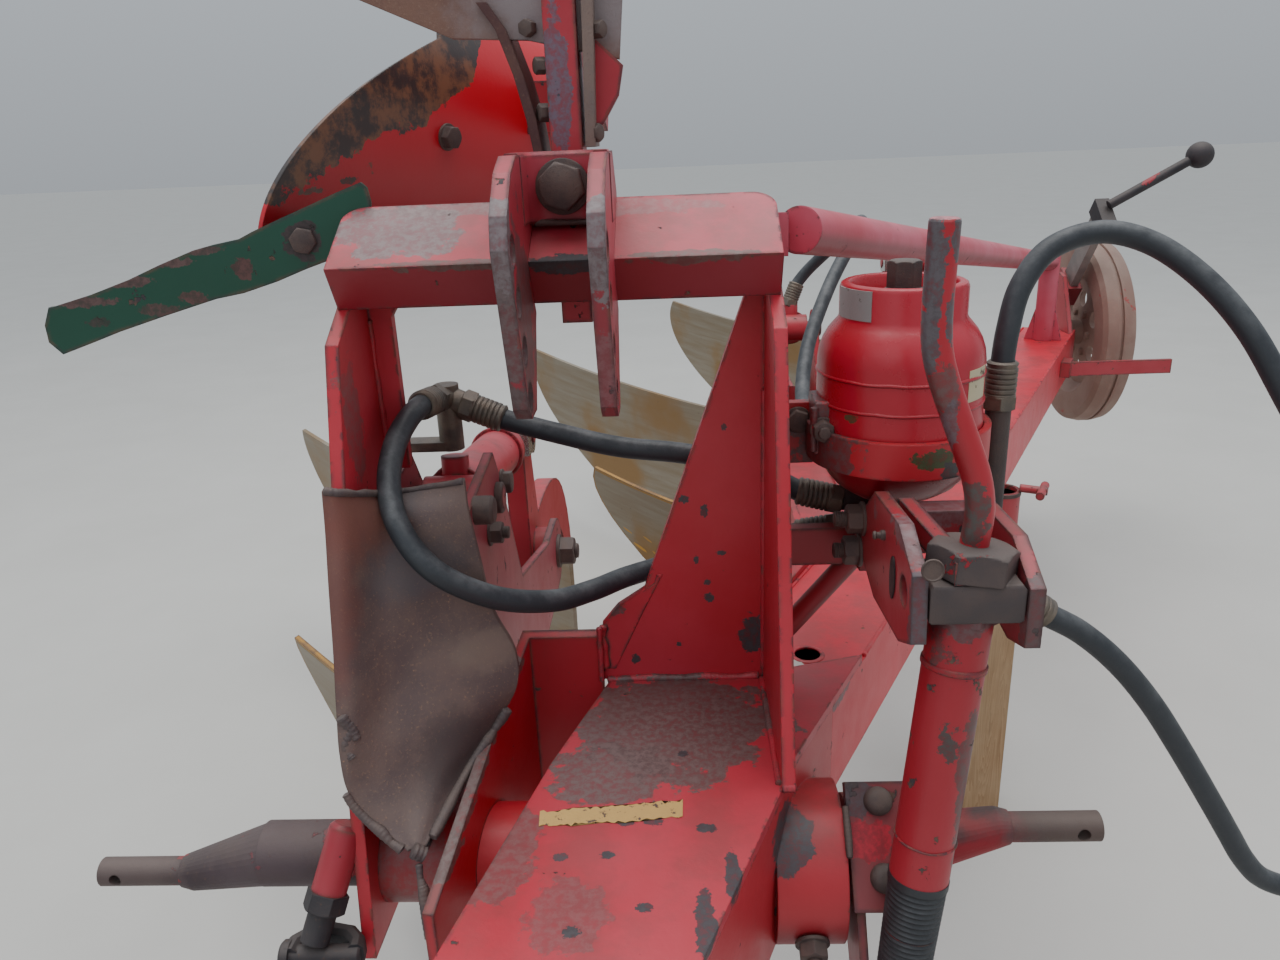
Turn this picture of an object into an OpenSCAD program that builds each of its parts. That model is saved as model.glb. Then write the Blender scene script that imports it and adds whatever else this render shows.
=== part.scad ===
// Mounted one-way plough with three furrows and hydraulic stone trip.
// Origin: middle of the lower hitch shaft. +X is the land side, +Y is rearward, +Z is up.

/* [Stance] */
// Height of the hitch shaft above the ground
hitch_h = 592; // [560:1:630]
// Angle of the main beam to the direction of travel
beam_angle = 27.5; // [24:0.5:30]
// Sideways place of the beam's centre line at the hitch shaft
beam_x0 = 124; // [110:1:140]

/* [Beam] */
// Width of the main beam
beam_w = 140; // [120:1:150]
// Height of the main beam
beam_h = 110; // [90:1:125]
// Wall of the main beam
beam_t = 10; // [6:0.5:14]
// Height of the beam's top above the hitch shaft
beam_z = 90; // [85:1:100]
// Length of the beam behind the headstock
beam_len = 2100; // [2000:5:2250]

/* [Headstock] */
// Wall of the headstock's side plates
head_t = 12; // [8:1:16]
// Thickness of the headstock's top plate
nose_t = 10; // [6:1:14]
// Depth of the headstock below the hitch shaft
head_drop = 62; // [56:1:80]
// Outside diameter of the tube that the hitch shaft runs in
sleeve_d = 92; // [86:1:104]
// Diameter of the round collar at the end of that tube
collar_d = 150; // [140:1:156]

/* [Hitch shaft] */
// Diameter of the thick part of the hitch shaft
shaft_d = 62; // [54:1:68]
// Distance between the shoulders of the two hitch pins
shoulder_span = 808; // [790:1:830]
// Diameter of each hitch pin
pin_d = 28; // [22:1:32]
// Length of each hitch pin
pin_len = 84; // [70:1:95]
// Offset of each pin from the shaft's axis, forward or rearward
crank_y = 6; // [0:1:20]
// Offset of each pin from the shaft's axis, up or down
crank_z = 26; // [16:1:32]
// Hole for the linch pin
linch_d = 12; // [8:0.5:14]

/* [Tower] */
// Half of the tower's outside width
tower_x = 200; // [190:1:215]
// Thickness of the tower's side plates
tower_t = 12; // [8:1:16]
// Height of the crossbeam's front edge
cross_z = 555; // [530:1:575]
// Width of the crossbeam's sloping top plate
cross_w = 92; // [80:1:105]
// Slope of the crossbeam's top plate
cross_tilt = 30; // [22:1:34]
// Depth of the crossbeam's front flange
cross_f = 45; // [35:1:55]

/* [Top link bracket] */
// Gap between the two bracket plates
link_gap = 60; // [50:1:70]
// Thickness of each bracket plate
link_t = 14; // [10:1:18]
// Diameter of the top link holes
link_d = 25; // [22:0.5:28]
// Distance from one top link hole to the next
link_pitch = 43; // [38:1:48]

/* [Trip units] */
// Sideways place of the first unit
unit_x0 = -140; // [-145:1:-136]
// Rearward place of the first unit's trip pivot
unit_y0 = 630; // [600:1:660]
// Sideways step from one unit to the next
unit_dx = 465; // [440:1:480]
// Rearward step from one unit to the next
unit_dy = 885; // [850:1:930]
// Half of a unit bracket's outside width
unit_w = 48; // [46:1:48]
// Thickness of a unit bracket's side plates
unit_t = 10; // [8:0.5:12]
// Height of the trip pivot
pivot_z = 40; // [30:1:50]
// Diameter of the trip pivot bolt
pivot_d = 30; // [24:1:34]
// Thickness of the leg
leg_t = 30; // [25:1:34]
// Outside diameter of the trip cylinder
cyl_d = 62; // [54:1:64]
// Diameter of the cylinder's piston rod
rod_d = 30; // [25:1:34]
// Diameter of the pins at the cylinder's ends
eye_d = 24; // [20:1:26]

/* [Bodies] */
// Length of the share's cutting edge
share_len = 560; // [500:5:600]
// Angle of the cutting edge to the direction of travel
share_angle = 42; // [38:1:46]
// Radius of the mouldboard's hollow
board_r = 430; // [400:5:450]
// Length of the mouldboard along its top
board_len = 980; // [900:5:1040]
// Thickness of the mouldboard
board_t = 9; // [7:0.5:12]
// Length of the landside bar
landside_len = 420; // [380:5:460]

/* [Skimmers] */
// Size of a skimmer's body as a share of a main body
skim_scale = 0.52; // [0.45:0.01:0.56]
// Height of a skimmer's point above the ground
skim_z = 130; // [110:5:160]

/* [Accumulator] */
// Diameter of the gas accumulator
acc_d = 158; // [145:1:165]
// Diameter of its guard ring
acc_ring_d = 142; // [130:1:150]
// Height of the accumulator's body
acc_h = 190; // [175:1:205]

/* [Depth wheel] */
// Outside diameter of the depth wheel
wheel_d = 520; // [500:5:540]
// Width of the depth wheel
wheel_w = 88; // [80:1:92]
// Diameter of the wheel's axle
axle_d = 30; // [25:1:34]

/* [Screw spindle] */
// Outside diameter of the spindle's tube
spindle_d = 50; // [44:1:56]
// Diameter of the cranked handle
handle_d = 28; // [24:1:32]

/* [Hoses] */
// Diameter of the hydraulic hoses
hose_d = 22; // [20:1:24]

/* [Hidden] */
$fn = 48;
ground_z = -hitch_h;
fit = 0.3;
red = "#b01c26";
dark_red = "#6e2226";
steel = "#7a6a55";
bare = "#c8c2b4";
worn = "#a8853c";
yellow = "#c9861a";
green = "#1d6b3c";
tyre = "#7c5a49";
rubber = "#25282b";
wood = "#b98a55";

// Beam and headstock
beam_hole_d = 30;
beam_hole_u = 240;
beam_hole_v = 10;
nose_top = beam_z + nose_t;
nose_end_u = 250;
collar_x = 182;
collar_len = 64;
collar_drop = 14;
flange_t = 14;

// Hitch shaft and its lever
taper_len = 92;
linch_in = 18;
lever_x = 252;
lever_w = 54;
lever_t = 8;
lever_d = 100;
lever_tilt = -40;
spindle_low_yz = [-112, -130];
spindle_eye_d = 20;

// Tower and crossbeam
tower_in_l = -tower_x + tower_t;
tower_back_y = 160;
cross_y = 75;
cross_t = 12;
cross_x = tower_x - 2;
gusset_t = 10;
gusset_x = 17;
gusset_front = [-120, -133];
link_x = 10;
link_hole_y = 0;
link_hole_z = 573;
link_lean = 14;
stay_d = 45;
stay_v = 5;
stay_z = 567;
stay_end_z = 296;
stay_u0 = 206;
stay_post_d = 50;

// Trip units
cyl_front = [-430, 294];
cyl_rear = [-20, 240];
barrel_len = 288;
piston_at = 236;
port_at = 24;
clevis_t = 10;
eye_play = 4.5;
leg_back = 400;
leg_w0 = 96;
leg_w1 = 84;

// Bodies
board_twist = 8;
board_rise = 100;
share_t = 12;
share_y = 70;
land_x = 27;
skim_in = 8;
stem_t = 16;
skim_y = -330;
spare_at = [-45, 657, 792];
spare_turn = [-175.3, 9, 18.2];
spare_scale = 0.47;
spare_t = 6;
spare_leg_x = -4;
spare_leg_t = 29;
spare_y0 = 161;
tail_a = [-485, 120, 502];
tail_b = [-192, 165, 614];
tail_w = 62;
tail_t = 8;

// Accumulator
acc_xy = [315, 140];
acc_z = 310;
acc_arm_z = 339;
block_y = 178;
block_z1 = 292;
block_z2 = 258;
supply_x = 416;
supply_y = 156;
supply_z = 400;

// Depth wheel
wheel_z = 62;
col_t = 20;
col_w = 60;
col_lean = 39.5;
col_len = 345;
col_guide_s = 245;
col_guide_len = 70;
guide_t = 10;
scraper_len = 270;

// Spindle
spindle_x = 328;
spindle_y = -66;
spindle_z = 306;
lug_l_x = 279;
lug_r_x = 366;
lug_t = 12;
handle_line = [[331, -63.5, 332], [336, -65, 384], [296, -66, 484], [291, -66, 513], [293, -66, 592]];
plug_end = [404, 29, 252];

// Stand
socket_d = 60;
socket_u = 954;
timber_w = 70;

// Hoses, each along its own points
tee = [-140, 225, 400];
trip_route = [[-114, 222, 389], [-88, 219, 378], [-20, 210, 360], [42, 203, 346], [116, 201, 336],
    [184, 194, 318], [228, 182, 299], [246, 178, 292.5], [261, 178, 292]];
link_route = [[-148, 198.5, 404], [-149, 186, 406], [-152, 158, 408], [-158, 130, 402],
    [-163, 96, 387], [-162, 62, 362], [-148, 31, 331], [-117, 17, 294], [-70, 38, 256], [-22, 74, 233],
    [14, 116, 223], [46, 158, 217], [96, 190, 217], [152, 200, 225], [206, 189, 243], [238, 180, 256],
    [261, 178, 258]];
rear_route = [[315, 220, 258], [315, 248, 258], [308, 330, 253], [296, 450, 252], [288, 560, 261],
    [291, 650, 284], [310, 728, 340], [350, 806, 410], [392, 880, 462], [424, 950, 492],
    [436, 1016, 494], [424, 1070, 470], [394, 1106, 434], [358, 1122, 396], [334, 1120, 365],
    [325, 1115, 340]];
supply_route = [[416, 156, 400], [416, 156, 430], [420, 160, 466], [432, 170, 505], [460, 181, 537],
    [507, 187, 550], [552, 177, 539], [592, 154, 508], [625, 128, 465], [655, 108, 410],
    [690, 92, 345], [727, 80, 268], [767, 73, 186], [801, 67, 103], [824, 63, 37], [831, 60, -19],
    [823, 59, -56], [800, 58, -87], [766, 57, -104], [728, 55, -106], [692, 54, -92], [668, 52, -66],
    [648, 51, -34], [626, 50, 2], [584, 47, 69], [545, 43, 127], [506, 39, 174], [467, 35, 209],
    [430, 31, 232], [404, 29, 252]];

// Frames
// The beam's own frame: y runs along it, x to its land side.
sb = sin(beam_angle);
cb = cos(beam_angle);
beam_u0 = 150;
module in_beam(v = 0, u = 0, z = 0) {
    translate([beam_x0, 0, 0]) rotate([0, 0, -beam_angle]) translate([v, u, z]) children();
}
// Plan point at a place along and across the beam
function beam_pt(u, v) = [beam_x0 + u * sb + v * cb, u * cb - v * sb];
beam_end = beam_pt(beam_u0 + beam_len, 0);
stay_u1 = beam_u0 + beam_len - 162;
// Plan Y of the beam's furrow-side face at a given X
function beam_left_y(x) = (x - beam_x0 + beam_w / 2 / cb) * cb / sb;

// A unit's frame: origin at its middle plane, under its trip pivot
function unit_x(i) = unit_x0 + i * unit_dx;
function unit_y(i) = unit_y0 + i * unit_dy;
module in_unit(i) { translate([unit_x(i), unit_y(i), 0]) children(); }

// Building blocks
// Plate parallel to the YZ plane, its outline given as (Y, Z)
module plate_yz(x, t, pts) {
    translate([x, 0, 0]) rotate([90, 0, 90]) linear_extrude(t) polygon(pts);
}
// Plate parallel to the XZ plane, its outline given as (X, Z)
module plate_xz(y, t, pts) {
    translate([0, y + t, 0]) rotate([90, 0, 0]) linear_extrude(t) polygon(pts);
}
// Level plate, its outline given as (X, Y)
module plate_xy(z, t, pts) { translate([0, 0, z]) linear_extrude(t) polygon(pts); }
// Round bar along X
module bar_x(x, y, z, d, len) {
    translate([x, y, z]) rotate([0, 90, 0]) cylinder(d = d, h = len);
}
// Round bar from one point to another
module bar(a, b, d) {
    v = b - a;
    translate(a) rotate([0, acos(v.z / norm(v)), atan2(v.y, v.x)]) cylinder(d = d, h = norm(v));
}
// Upright wall on the left of the plan line from a to b
module wall(a, b, t, z0, z1) {
    plate_xy(z0, z1 - z0, [a, b, b + t * inward(a, b), a + t * inward(a, b)]);
}
// Outline moved inwards by t, for points that run counter-clockwise
function inward(a, b) = [a.y - b.y, b.x - a.x] / norm(b - a);
function inset(p, t) = [for (i = [0:len(p) - 1])
    let (m = inward(p[(i + len(p) - 1) % len(p)], p[i]), n = inward(p[i], p[(i + 1) % len(p)]))
        p[i] + t * (m + n) / (1 + m * n)];
// Rectangle with round corners
module round_rect(w, h, r) {
    translate([r, 0]) square([w - 2 * r, h]);
    translate([0, r]) square([w, h - 2 * r]);
    for (x = [r, w - r], y = [r, h - r]) translate([x, y]) circle(r = r);
}
// Flat bar with round ends between two plan points
module link_2d(a, b, ra, rb) {
    v = (b - a) / norm(b - a);
    n = [-v.y, v.x];
    translate(a) circle(r = ra);
    translate(b) circle(r = rb);
    polygon([a + ra * n, a - ra * n, b - rb * n, b + rb * n]);
}
// Solid between two grids of points with the same rows and columns
module skin(front, back) {
    rows = len(front);
    cols = len(front[0]);
    function at(side, r, c) = side * rows * cols + r * cols + c;
    pts = [for (g = [front, back], row = g, p = row) p];
    faces = concat(
        [for (r = [0:rows - 2], c = [0:cols - 2]) each [
            [at(0, r, c), at(0, r, c + 1), at(0, r + 1, c + 1)],
            [at(0, r, c), at(0, r + 1, c + 1), at(0, r + 1, c)],
            [at(1, r, c), at(1, r + 1, c + 1), at(1, r, c + 1)],
            [at(1, r, c), at(1, r + 1, c), at(1, r + 1, c + 1)]]],
        [for (r = [0:rows - 2], c = [0, cols - 1]) each let (q = c == 0 ? [r, r + 1] : [r + 1, r]) [
            [at(0, q[0], c), at(0, q[1], c), at(1, q[1], c)],
            [at(0, q[0], c), at(1, q[1], c), at(1, q[0], c)]]],
        [for (c = [0:cols - 2], r = [0, rows - 1]) each let (q = r == 0 ? [c + 1, c] : [c, c + 1]) [
            [at(0, r, q[0]), at(0, r, q[1]), at(1, r, q[1])],
            [at(0, r, q[0]), at(1, r, q[1]), at(1, r, q[0])]]]);
    polyhedron(pts, faces);
}
// Tube of eight or more sides swept along a list of points
function unit(v) = v / norm(v);
function tangent(p, i) = unit(p[min(i + 1, len(p) - 1)] - p[max(i - 1, 0)]);
function side_of(t) = abs(t.z) > 0.9 ? unit(cross([0, 1, 0], t)) : unit(cross([0, 0, 1], t));
function carried(p, i, n) = i == 0 ? [side_of(tangent(p, 0))]
    : let (rest = carried(p, i - 1, n), t = tangent(p, i), s = rest[i - 1])
        concat(rest, [unit(s - (s * t) * t)]);
module tube(route, d, sides = 10) {
    last = len(route) - 1;
    across = carried(route, last, sides);
    pts = [for (i = [0:last]) let (t = tangent(route, i), a = across[i], b = cross(t, a))
        for (k = [0:sides - 1]) route[i] + d / 2 * (cos(k * 360 / sides) * a + sin(k * 360 / sides) * b)];
    faces = concat(
        [[for (k = [0:sides - 1]) k]],
        [[for (k = [sides - 1:-1:0]) last * sides + k]],
        [for (i = [0:last - 1], k = [0:sides - 1]) let (m = (k + 1) % sides)
            [i * sides + k, (i + 1) * sides + k, (i + 1) * sides + m, i * sides + m]]);
    polyhedron(pts, faces);
}
// Smooth curve through a hose's own points, with a ring about every step
function spline_at(p, i, t) = let (
        a = p[max(i - 1, 0)], b = p[i], c = p[i + 1], e = p[min(i + 2, len(p) - 1)])
    0.5 * (2 * b + (c - a) * t + (2 * a - 5 * b + 4 * c - e) * t * t + (3 * b - a - 3 * c + e) * t * t * t);
function smooth(p, step) = concat(
    [for (i = [0:len(p) - 2]) let (n = max(1, round(norm(p[i + 1] - p[i]) / step)))
        for (k = [0:n - 1]) spline_at(p, i, k / n)],
    [p[len(p) - 1]]);

module main_beam() color(red) difference() {
    in_beam(-beam_w / 2, beam_u0, beam_z - beam_h) cube([beam_w, beam_len, beam_h]);
    in_beam(-beam_w / 2 + beam_t, beam_u0 + beam_t, beam_z - beam_h + beam_t)
        cube([beam_w - 2 * beam_t, beam_len - 2 * beam_t, beam_h - 2 * beam_t]);
    in_beam(beam_hole_v, beam_hole_u, beam_z - beam_t - 1) cylinder(d = beam_hole_d, h = beam_t + 2);
}

// Plan outline of the box under the nose, counter-clockwise
nose_front_y = -235;
beam_land_corner = beam_pt(beam_u0, beam_w / 2);
beam_furrow_corner = beam_pt(beam_u0, -beam_w / 2);
head_outline = [[-84, nose_front_y], [110, nose_front_y], [188, -43], [203, 0],
    beam_land_corner, beam_furrow_corner, [24, 148], [-24, 0]];
module headstock() color(red) difference() {
    union() {
        difference() {
            plate_xy(-head_drop, head_drop + beam_z, head_outline);
            plate_xy(-head_drop + head_t, head_drop + beam_z, inset(head_outline, head_t));
        }
        bar_x(tower_in_l, 0, 0, sleeve_d, collar_x - tower_in_l + 1);
        bar_x(collar_x, 0, -collar_drop, collar_d, collar_len);
    }
    bar_x(tower_in_l - 1, 0, 0, shaft_d + 2 * fit, collar_x + collar_len - tower_in_l + 2);
}

module nose_plate() color(red) plate_xy(beam_z, nose_t, [[-84, nose_front_y], [110, nose_front_y],
    [188, -43], [203, 0], beam_pt(nose_end_u, beam_w / 2), [tower_x, tower_back_y], [24, tower_back_y],
    [24, 148], [-24, 0]]);

// Each end of the shaft slants off its axis and ends in a pin
module disc(at, d) { translate(at) rotate([0, 90, 0]) cylinder(d = d, h = 1, center = true, $fn = 32); }
module shaft_end(side) {
    shoulder = [side * shoulder_span / 2, -side * crank_y, side * crank_z];
    hull() {
        disc([side * (shoulder_span / 2 - taper_len - 3), 0, 0], shaft_d - 1);
        disc(shoulder + [-side * 12, 0, 0], pin_d + 10);
        disc(shoulder + [-side * 0.5, 0, 0], pin_d + 4);
    }
    translate(shoulder) rotate([0, side * 90, 0]) translate([0, 0, -1]) cylinder(d = pin_d, h = pin_len + 1);
}
module hitch_shaft() color(steel) difference() {
    union() {
        bar_x(-shoulder_span / 2 + taper_len, 0, 0, shaft_d, shoulder_span - 2 * taper_len);
        for (side = [-1, 1]) shaft_end(side);
    }
    for (side = [-1, 1])
        translate([side * (shoulder_span / 2 + pin_len - linch_in), -side * crank_y, side * crank_z])
            rotate([90, 0, 0]) cylinder(d = linch_d, h = 2 * pin_d, center = true);
}

// Split clamp on the shaft, with two plates that run down to the spindle's lower eye
module shaft_lever() color(dark_red) difference() {
    union() {
        bar_x(lever_x, 0, 0, lever_d, lever_w);
        rotate([lever_tilt, 0, 0]) translate([lever_x - 2, -lever_d / 2 - 4, -55]) cube([lever_w + 4, 14, 112]);
        for (x = [lever_x + 2, lever_x + lever_w - lever_t - 2])
            translate([x, 0, 0]) rotate([90, 0, 90]) linear_extrude(lever_t)
                link_2d([0, 0], spindle_low_yz, lever_d / 2 - 4, 24);
    }
    bar_x(lever_x - 1, 0, 0, shaft_d + 2 * fit, lever_w + 2);
    bar_x(lever_x - 1, spindle_low_yz.x, spindle_low_yz.y, spindle_eye_d, lever_w + 2);
}

// Slope of the crossbeam, from its front upper edge
module in_cross() { translate([0, cross_y, cross_z]) rotate([cross_tilt, 0, 0]) children(); }
module above_cross() in_cross() {
    translate([-400, -200, -cross_t]) cube([800, 600, 300]);
    translate([-400, -200, -cross_f]) cube([800, 200 + cross_t, 300]);
}
module tower_left() color(red) difference() {
    union() {
        plate_yz(-tower_x, tower_t, [[cross_y, cross_z], [-46, 150], [-79, -54], [40, -head_drop],
            [tower_back_y, -head_drop], [tower_back_y, 640], [cross_y, 640]]);
        plate_xz(tower_back_y - tower_t, tower_t, [[tower_in_l, 348], [tower_in_l + 22, 348],
            [tower_in_l + 22, 500], [tower_in_l + 60, 560], [tower_in_l + 60, 640], [tower_in_l, 640]]);
    }
    above_cross();
    bar_x(-tower_x - 1, 0, 0, shaft_d + 2 * fit, tower_t + 2);
}
module tower_right() color(red) difference() {
    union() {
        plate_yz(tower_x - tower_t, tower_t, [[cross_y, cross_z], [-45, nose_top],
            [tower_back_y, nose_top], [tower_back_y, 640], [cross_y, 640]]);
        plate_xz(tower_back_y - tower_t, tower_t, [[tower_x - tower_t, nose_top], [gusset_x, nose_top],
            [gusset_x, 113], [58, 188], [171, 512], [171, 640], [tower_x - tower_t, 640]]);
        plate_yz(tower_x - tower_t, tower_t, [[tower_back_y, stay_z - 30], [tower_back_y + 55, stay_z - 30],
            [tower_back_y + 55, stay_z + 14], [tower_back_y, stay_z + 14]]);
    }
    above_cross();
}

// Bent plate between the tower's left side and the nose, its upper edge falling forward
module gusset() color(red) difference() {
    union() {
        wall([gusset_front.x, gusset_front.y], [-92, 29], -gusset_t, -head_drop, 200);
        wall([-92, 29], [-68, 150], -gusset_t, -head_drop, 200);
        wall([-68, 150], [gusset_x, 150], -gusset_t, -head_drop, 200);
    }
    plate_yz(-200, 400, [[-200, 24], [-133, 50], [150, 160], [200, 160], [200, 260], [-200, 260]]);
    bar_x(-200, 0, 0, sleeve_d + 2 * fit, 400);
}

module crossbeam() color(red) in_cross() {
    translate([-cross_x, 0, -cross_t]) linear_extrude(cross_t) {
        round_rect(2 * cross_x, cross_w, 22);
        square([2 * cross_x, 30]);
    }
    translate([-cross_x, 0, -cross_f]) cube([2 * cross_x, cross_t, cross_f]);
}

module top_link_bracket() color(red) difference() {
    for (x = [link_x - link_gap / 2 - link_t, link_x + link_gap / 2])
        plate_yz(x, link_t, [[-22, 575], [-14, 600], [20, 630], [52, 642], [118, 642], [156, 606], [150, 560],
            [97, 500], [62, 428], [32, 428], [18, 440]]);
    in_cross() translate([-400, 0, -300]) cube([800, 300, 300]);
    for (i = [0:3])
        bar_x(link_x - 100, link_hole_y + i * link_pitch * sin(link_lean),
            link_hole_z - i * link_pitch * cos(link_lean), link_d, 200);
}

module stay_tube() color(red) difference() {
    union() {
        bar(concat(beam_pt(stay_u0, stay_v), stay_z - 4), concat(beam_pt(stay_u1, stay_v), stay_end_z), stay_d);
        plate_yz(tower_x, 12, [[tower_back_y + 5, stay_z - 26], [tower_back_y + 60, stay_z - 30],
            [tower_back_y + 60, stay_z + 10], [tower_back_y + 5, stay_z + 14]]);
    }
    in_beam(stay_v, stay_u1, 0) cylinder(d = stay_post_d + 2 * fit, h = 600);
}
module stay_post() color(red) union() {
    in_beam(stay_v, stay_u1, beam_z) cylinder(d = stay_post_d, h = stay_end_z + 26 - beam_z);
    in_beam(stay_v, stay_u1, beam_z) for (a = [0, 180]) rotate([90, 0, a])
        translate([0, 0, -5]) linear_extrude(10) polygon([[stay_post_d / 2 - 2, 0], [stay_post_d / 2 + 22, 0],
            [stay_post_d / 2 - 2, 90]]);
}

// Outline of the arm that carries a trip unit, in (Y, Z) from its pivot
module arm_2d(front_y) {
    polygon([[front_y, beam_z - beam_h], [front_y, beam_z], [cyl_front.x - 120, beam_z + 10],
        [cyl_front.x - 34, cyl_front.y], [cyl_front.x + 34, cyl_front.y + 4], [cyl_front.x + 110, 150],
        [-90, 92], [0, pivot_z + 52], [0, pivot_z - 52], [-110, beam_z - beam_h]]);
    translate([0, pivot_z]) circle(r = 52);
    translate(cyl_front) circle(r = 34);
}
module arm_plates(front_y) {
    for (x = [-unit_w, unit_w - unit_t])
        translate([x, 0, 0]) rotate([90, 0, 90]) linear_extrude(unit_t) arm_2d(front_y);
}
module arm_pins() {
    bar_x(-unit_w - 8, 0, pivot_z, pivot_d, 2 * unit_w + 16);
    bar_x(-unit_w - 8, cyl_front.x, cyl_front.y, eye_d, 2 * unit_w + 16);
}
// Brackets 2 and 3 stand off the beam's furrow side
module bracket(i) color(red) {
    difference() {
        in_unit(i) union() {
            arm_plates(-unit_dy - 120);
            arm_pins();
            translate([-unit_w + 1, -unit_dy - 120, beam_z - beam_h])
                cube([2 * unit_w - 2, unit_dy - 20, unit_t]);
            translate([-unit_w + 1, -unit_dy - 120, beam_z - unit_t])
                cube([2 * unit_w - 2, unit_dy - 320, unit_t]);
        }
        in_beam(-beam_w / 2 - flange_t, -2000, -1000) cube([4000, 6000, 2000]);
    }
    in_beam(-beam_w / 2 - flange_t, (unit_x(i) - beam_x0) * sb + beam_left_y(unit_x(i)) * cb - 190, -30)
        cube([flange_t, 320, 130]);
}

// Bracket 1 is an open-topped box between the tower's left side and the gusset
panel = [[[-188, 52, 334], [-92, 52, 334]], [[-188, 12, 235], [-88, 78, 235]],
    [[-188, -28, 160], [-80, 98, 148]], [[-188, -52, 120], [-104, 16, 98]], [[-150, -76, 70], [-128, -70, 62]]];
module box_panel() {
    skin(panel, [for (row = panel) [for (p = row) p + [0, 9, 4]]]);
}
module bracket_box() color(dark_red) {
    in_unit(0) {
        translate([-unit_w, 0, 0]) rotate([90, 0, 90]) linear_extrude(unit_t) box_side_2d();
        translate([unit_w - unit_t, 0, 0]) rotate([90, 0, 90]) linear_extrude(unit_t) box_side_2d();
        arm_pins();
        translate([-unit_w + 1, -550, beam_z - beam_h]) cube([2 * unit_w - 2, 410, unit_t]);
    }
    box_panel();
}
module box_side_2d() {
    polygon([[-576, beam_z - beam_h], [-576, 110], [-562, 330],
        [-430, 345], [-396, 298], [cyl_front.x + 110, 150], [-90, 92], [0, pivot_z + 52],
        [0, pivot_z - 52], [-110, beam_z - beam_h]]);
    translate([0, pivot_z]) circle(r = 52);
}

// Trip cylinder, from its front pin towards the pin on the leg
cyl_v = cyl_rear - cyl_front;
cyl_len = norm(cyl_v);
cyl_angle = atan2(cyl_v.y, cyl_v.x);
module in_cylinder(i) {
    in_unit(i) translate([0, cyl_front.x, cyl_front.y]) rotate([cyl_angle - 90, 0, 0]) children();
}
module barrel(i) color(red) in_cylinder(i) difference() {
    union() {
        rotate([0, 90, 0]) cylinder(d = eye_d + 26, h = 2 * unit_w - 2 * unit_t - 20, center = true);
        translate([0, 0, 20]) cylinder(d = cyl_d, h = barrel_len - 20);
        translate([0, 0, barrel_len - 30]) cylinder(d = cyl_d + 6, h = 30);
        translate([0, 0, port_at]) rotate([90, 0, 0]) cylinder(d = 30, h = cyl_d / 2 + 12);
    }
    rotate([0, 90, 0]) cylinder(d = eye_d + 2 * fit, h = 3 * unit_w, center = true);
    translate([0, 0, 46]) cylinder(d = cyl_d - 16, h = barrel_len - 46 - 20);
    translate([0, 0, 46]) cylinder(d = rod_d + 2 * fit, h = barrel_len);
}
module rod(i) color(bare) in_cylinder(i) difference() {
    union() {
        translate([0, 0, piston_at]) cylinder(d = cyl_d - 16 - 2 * fit, h = 22);
        translate([0, 0, piston_at]) cylinder(d = rod_d, h = cyl_len - 46 - piston_at);
        translate([0, 0, cyl_len - 48]) cylinder(d = 52, h = 12);
        for (side = [-1, 1]) translate([side * (leg_t / 2 + 1.5 + clevis_t / 2), 0, 0]) rotate([0, 90, 0])
            linear_extrude(clevis_t, center = true) {
                translate([-cyl_len, -25]) square([46, 50]);
                translate([-cyl_len, 0]) circle(r = 28);
            }
    }
    translate([0, 0, cyl_len]) rotate([0, 90, 0]) cylinder(d = eye_d + 2 * eye_play, h = 200, center = true);
}

// Leg, its centre line one curve from the pivot to the foot
leg_line = [[0, pivot_z], [175, pivot_z + 20], [leg_back, pivot_z + 10], [leg_back, -200]];
function curve(p, t) = (1 - t) ^ 3 * p[0] + 3 * (1 - t) ^ 2 * t * p[1] + 3 * (1 - t) * t ^ 2 * p[2] + t ^ 3 * p[3];
function slope(p, t) = unit((1 - t) ^ 2 * (p[1] - p[0]) + 2 * (1 - t) * t * (p[2] - p[1]) + t ^ 2 * (p[3] - p[2]));
function leg_side(s) = [for (k = [0:14]) let (t = k / 14, v = slope(leg_line, t))
    curve(leg_line, t) + s * (leg_w0 + (leg_w1 - leg_w0) * t) / 2 * [-v.y, v.x]];
function reversed(p) = [for (i = [len(p) - 1:-1:0]) p[i]];
module leg_2d() {
    polygon(concat(leg_side(1), [[leg_back + leg_w1 / 2, -480], [leg_back - leg_w1 / 2 - 6, -480]],
        reversed(leg_side(-1))));
    link_2d([0, pivot_z], cyl_rear, 52, 28);
}
module leg(i) color(dark_red) in_unit(i) difference() {
    union() {
        translate([-leg_t / 2, 0, 0]) rotate([90, 0, 90]) linear_extrude(leg_t) leg_2d();
        bar_x(-leg_t / 2 - clevis_t - 4, cyl_rear.x, cyl_rear.y, eye_d, leg_t + 2 * clevis_t + 8);
        bar_x(-unit_w + unit_t + 2, 0, pivot_z, 78, 2 * (unit_w - unit_t - 2));
    }
    bar_x(-unit_w, 0, pivot_z, pivot_d + 2 * fit, 2 * unit_w);
}

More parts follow.
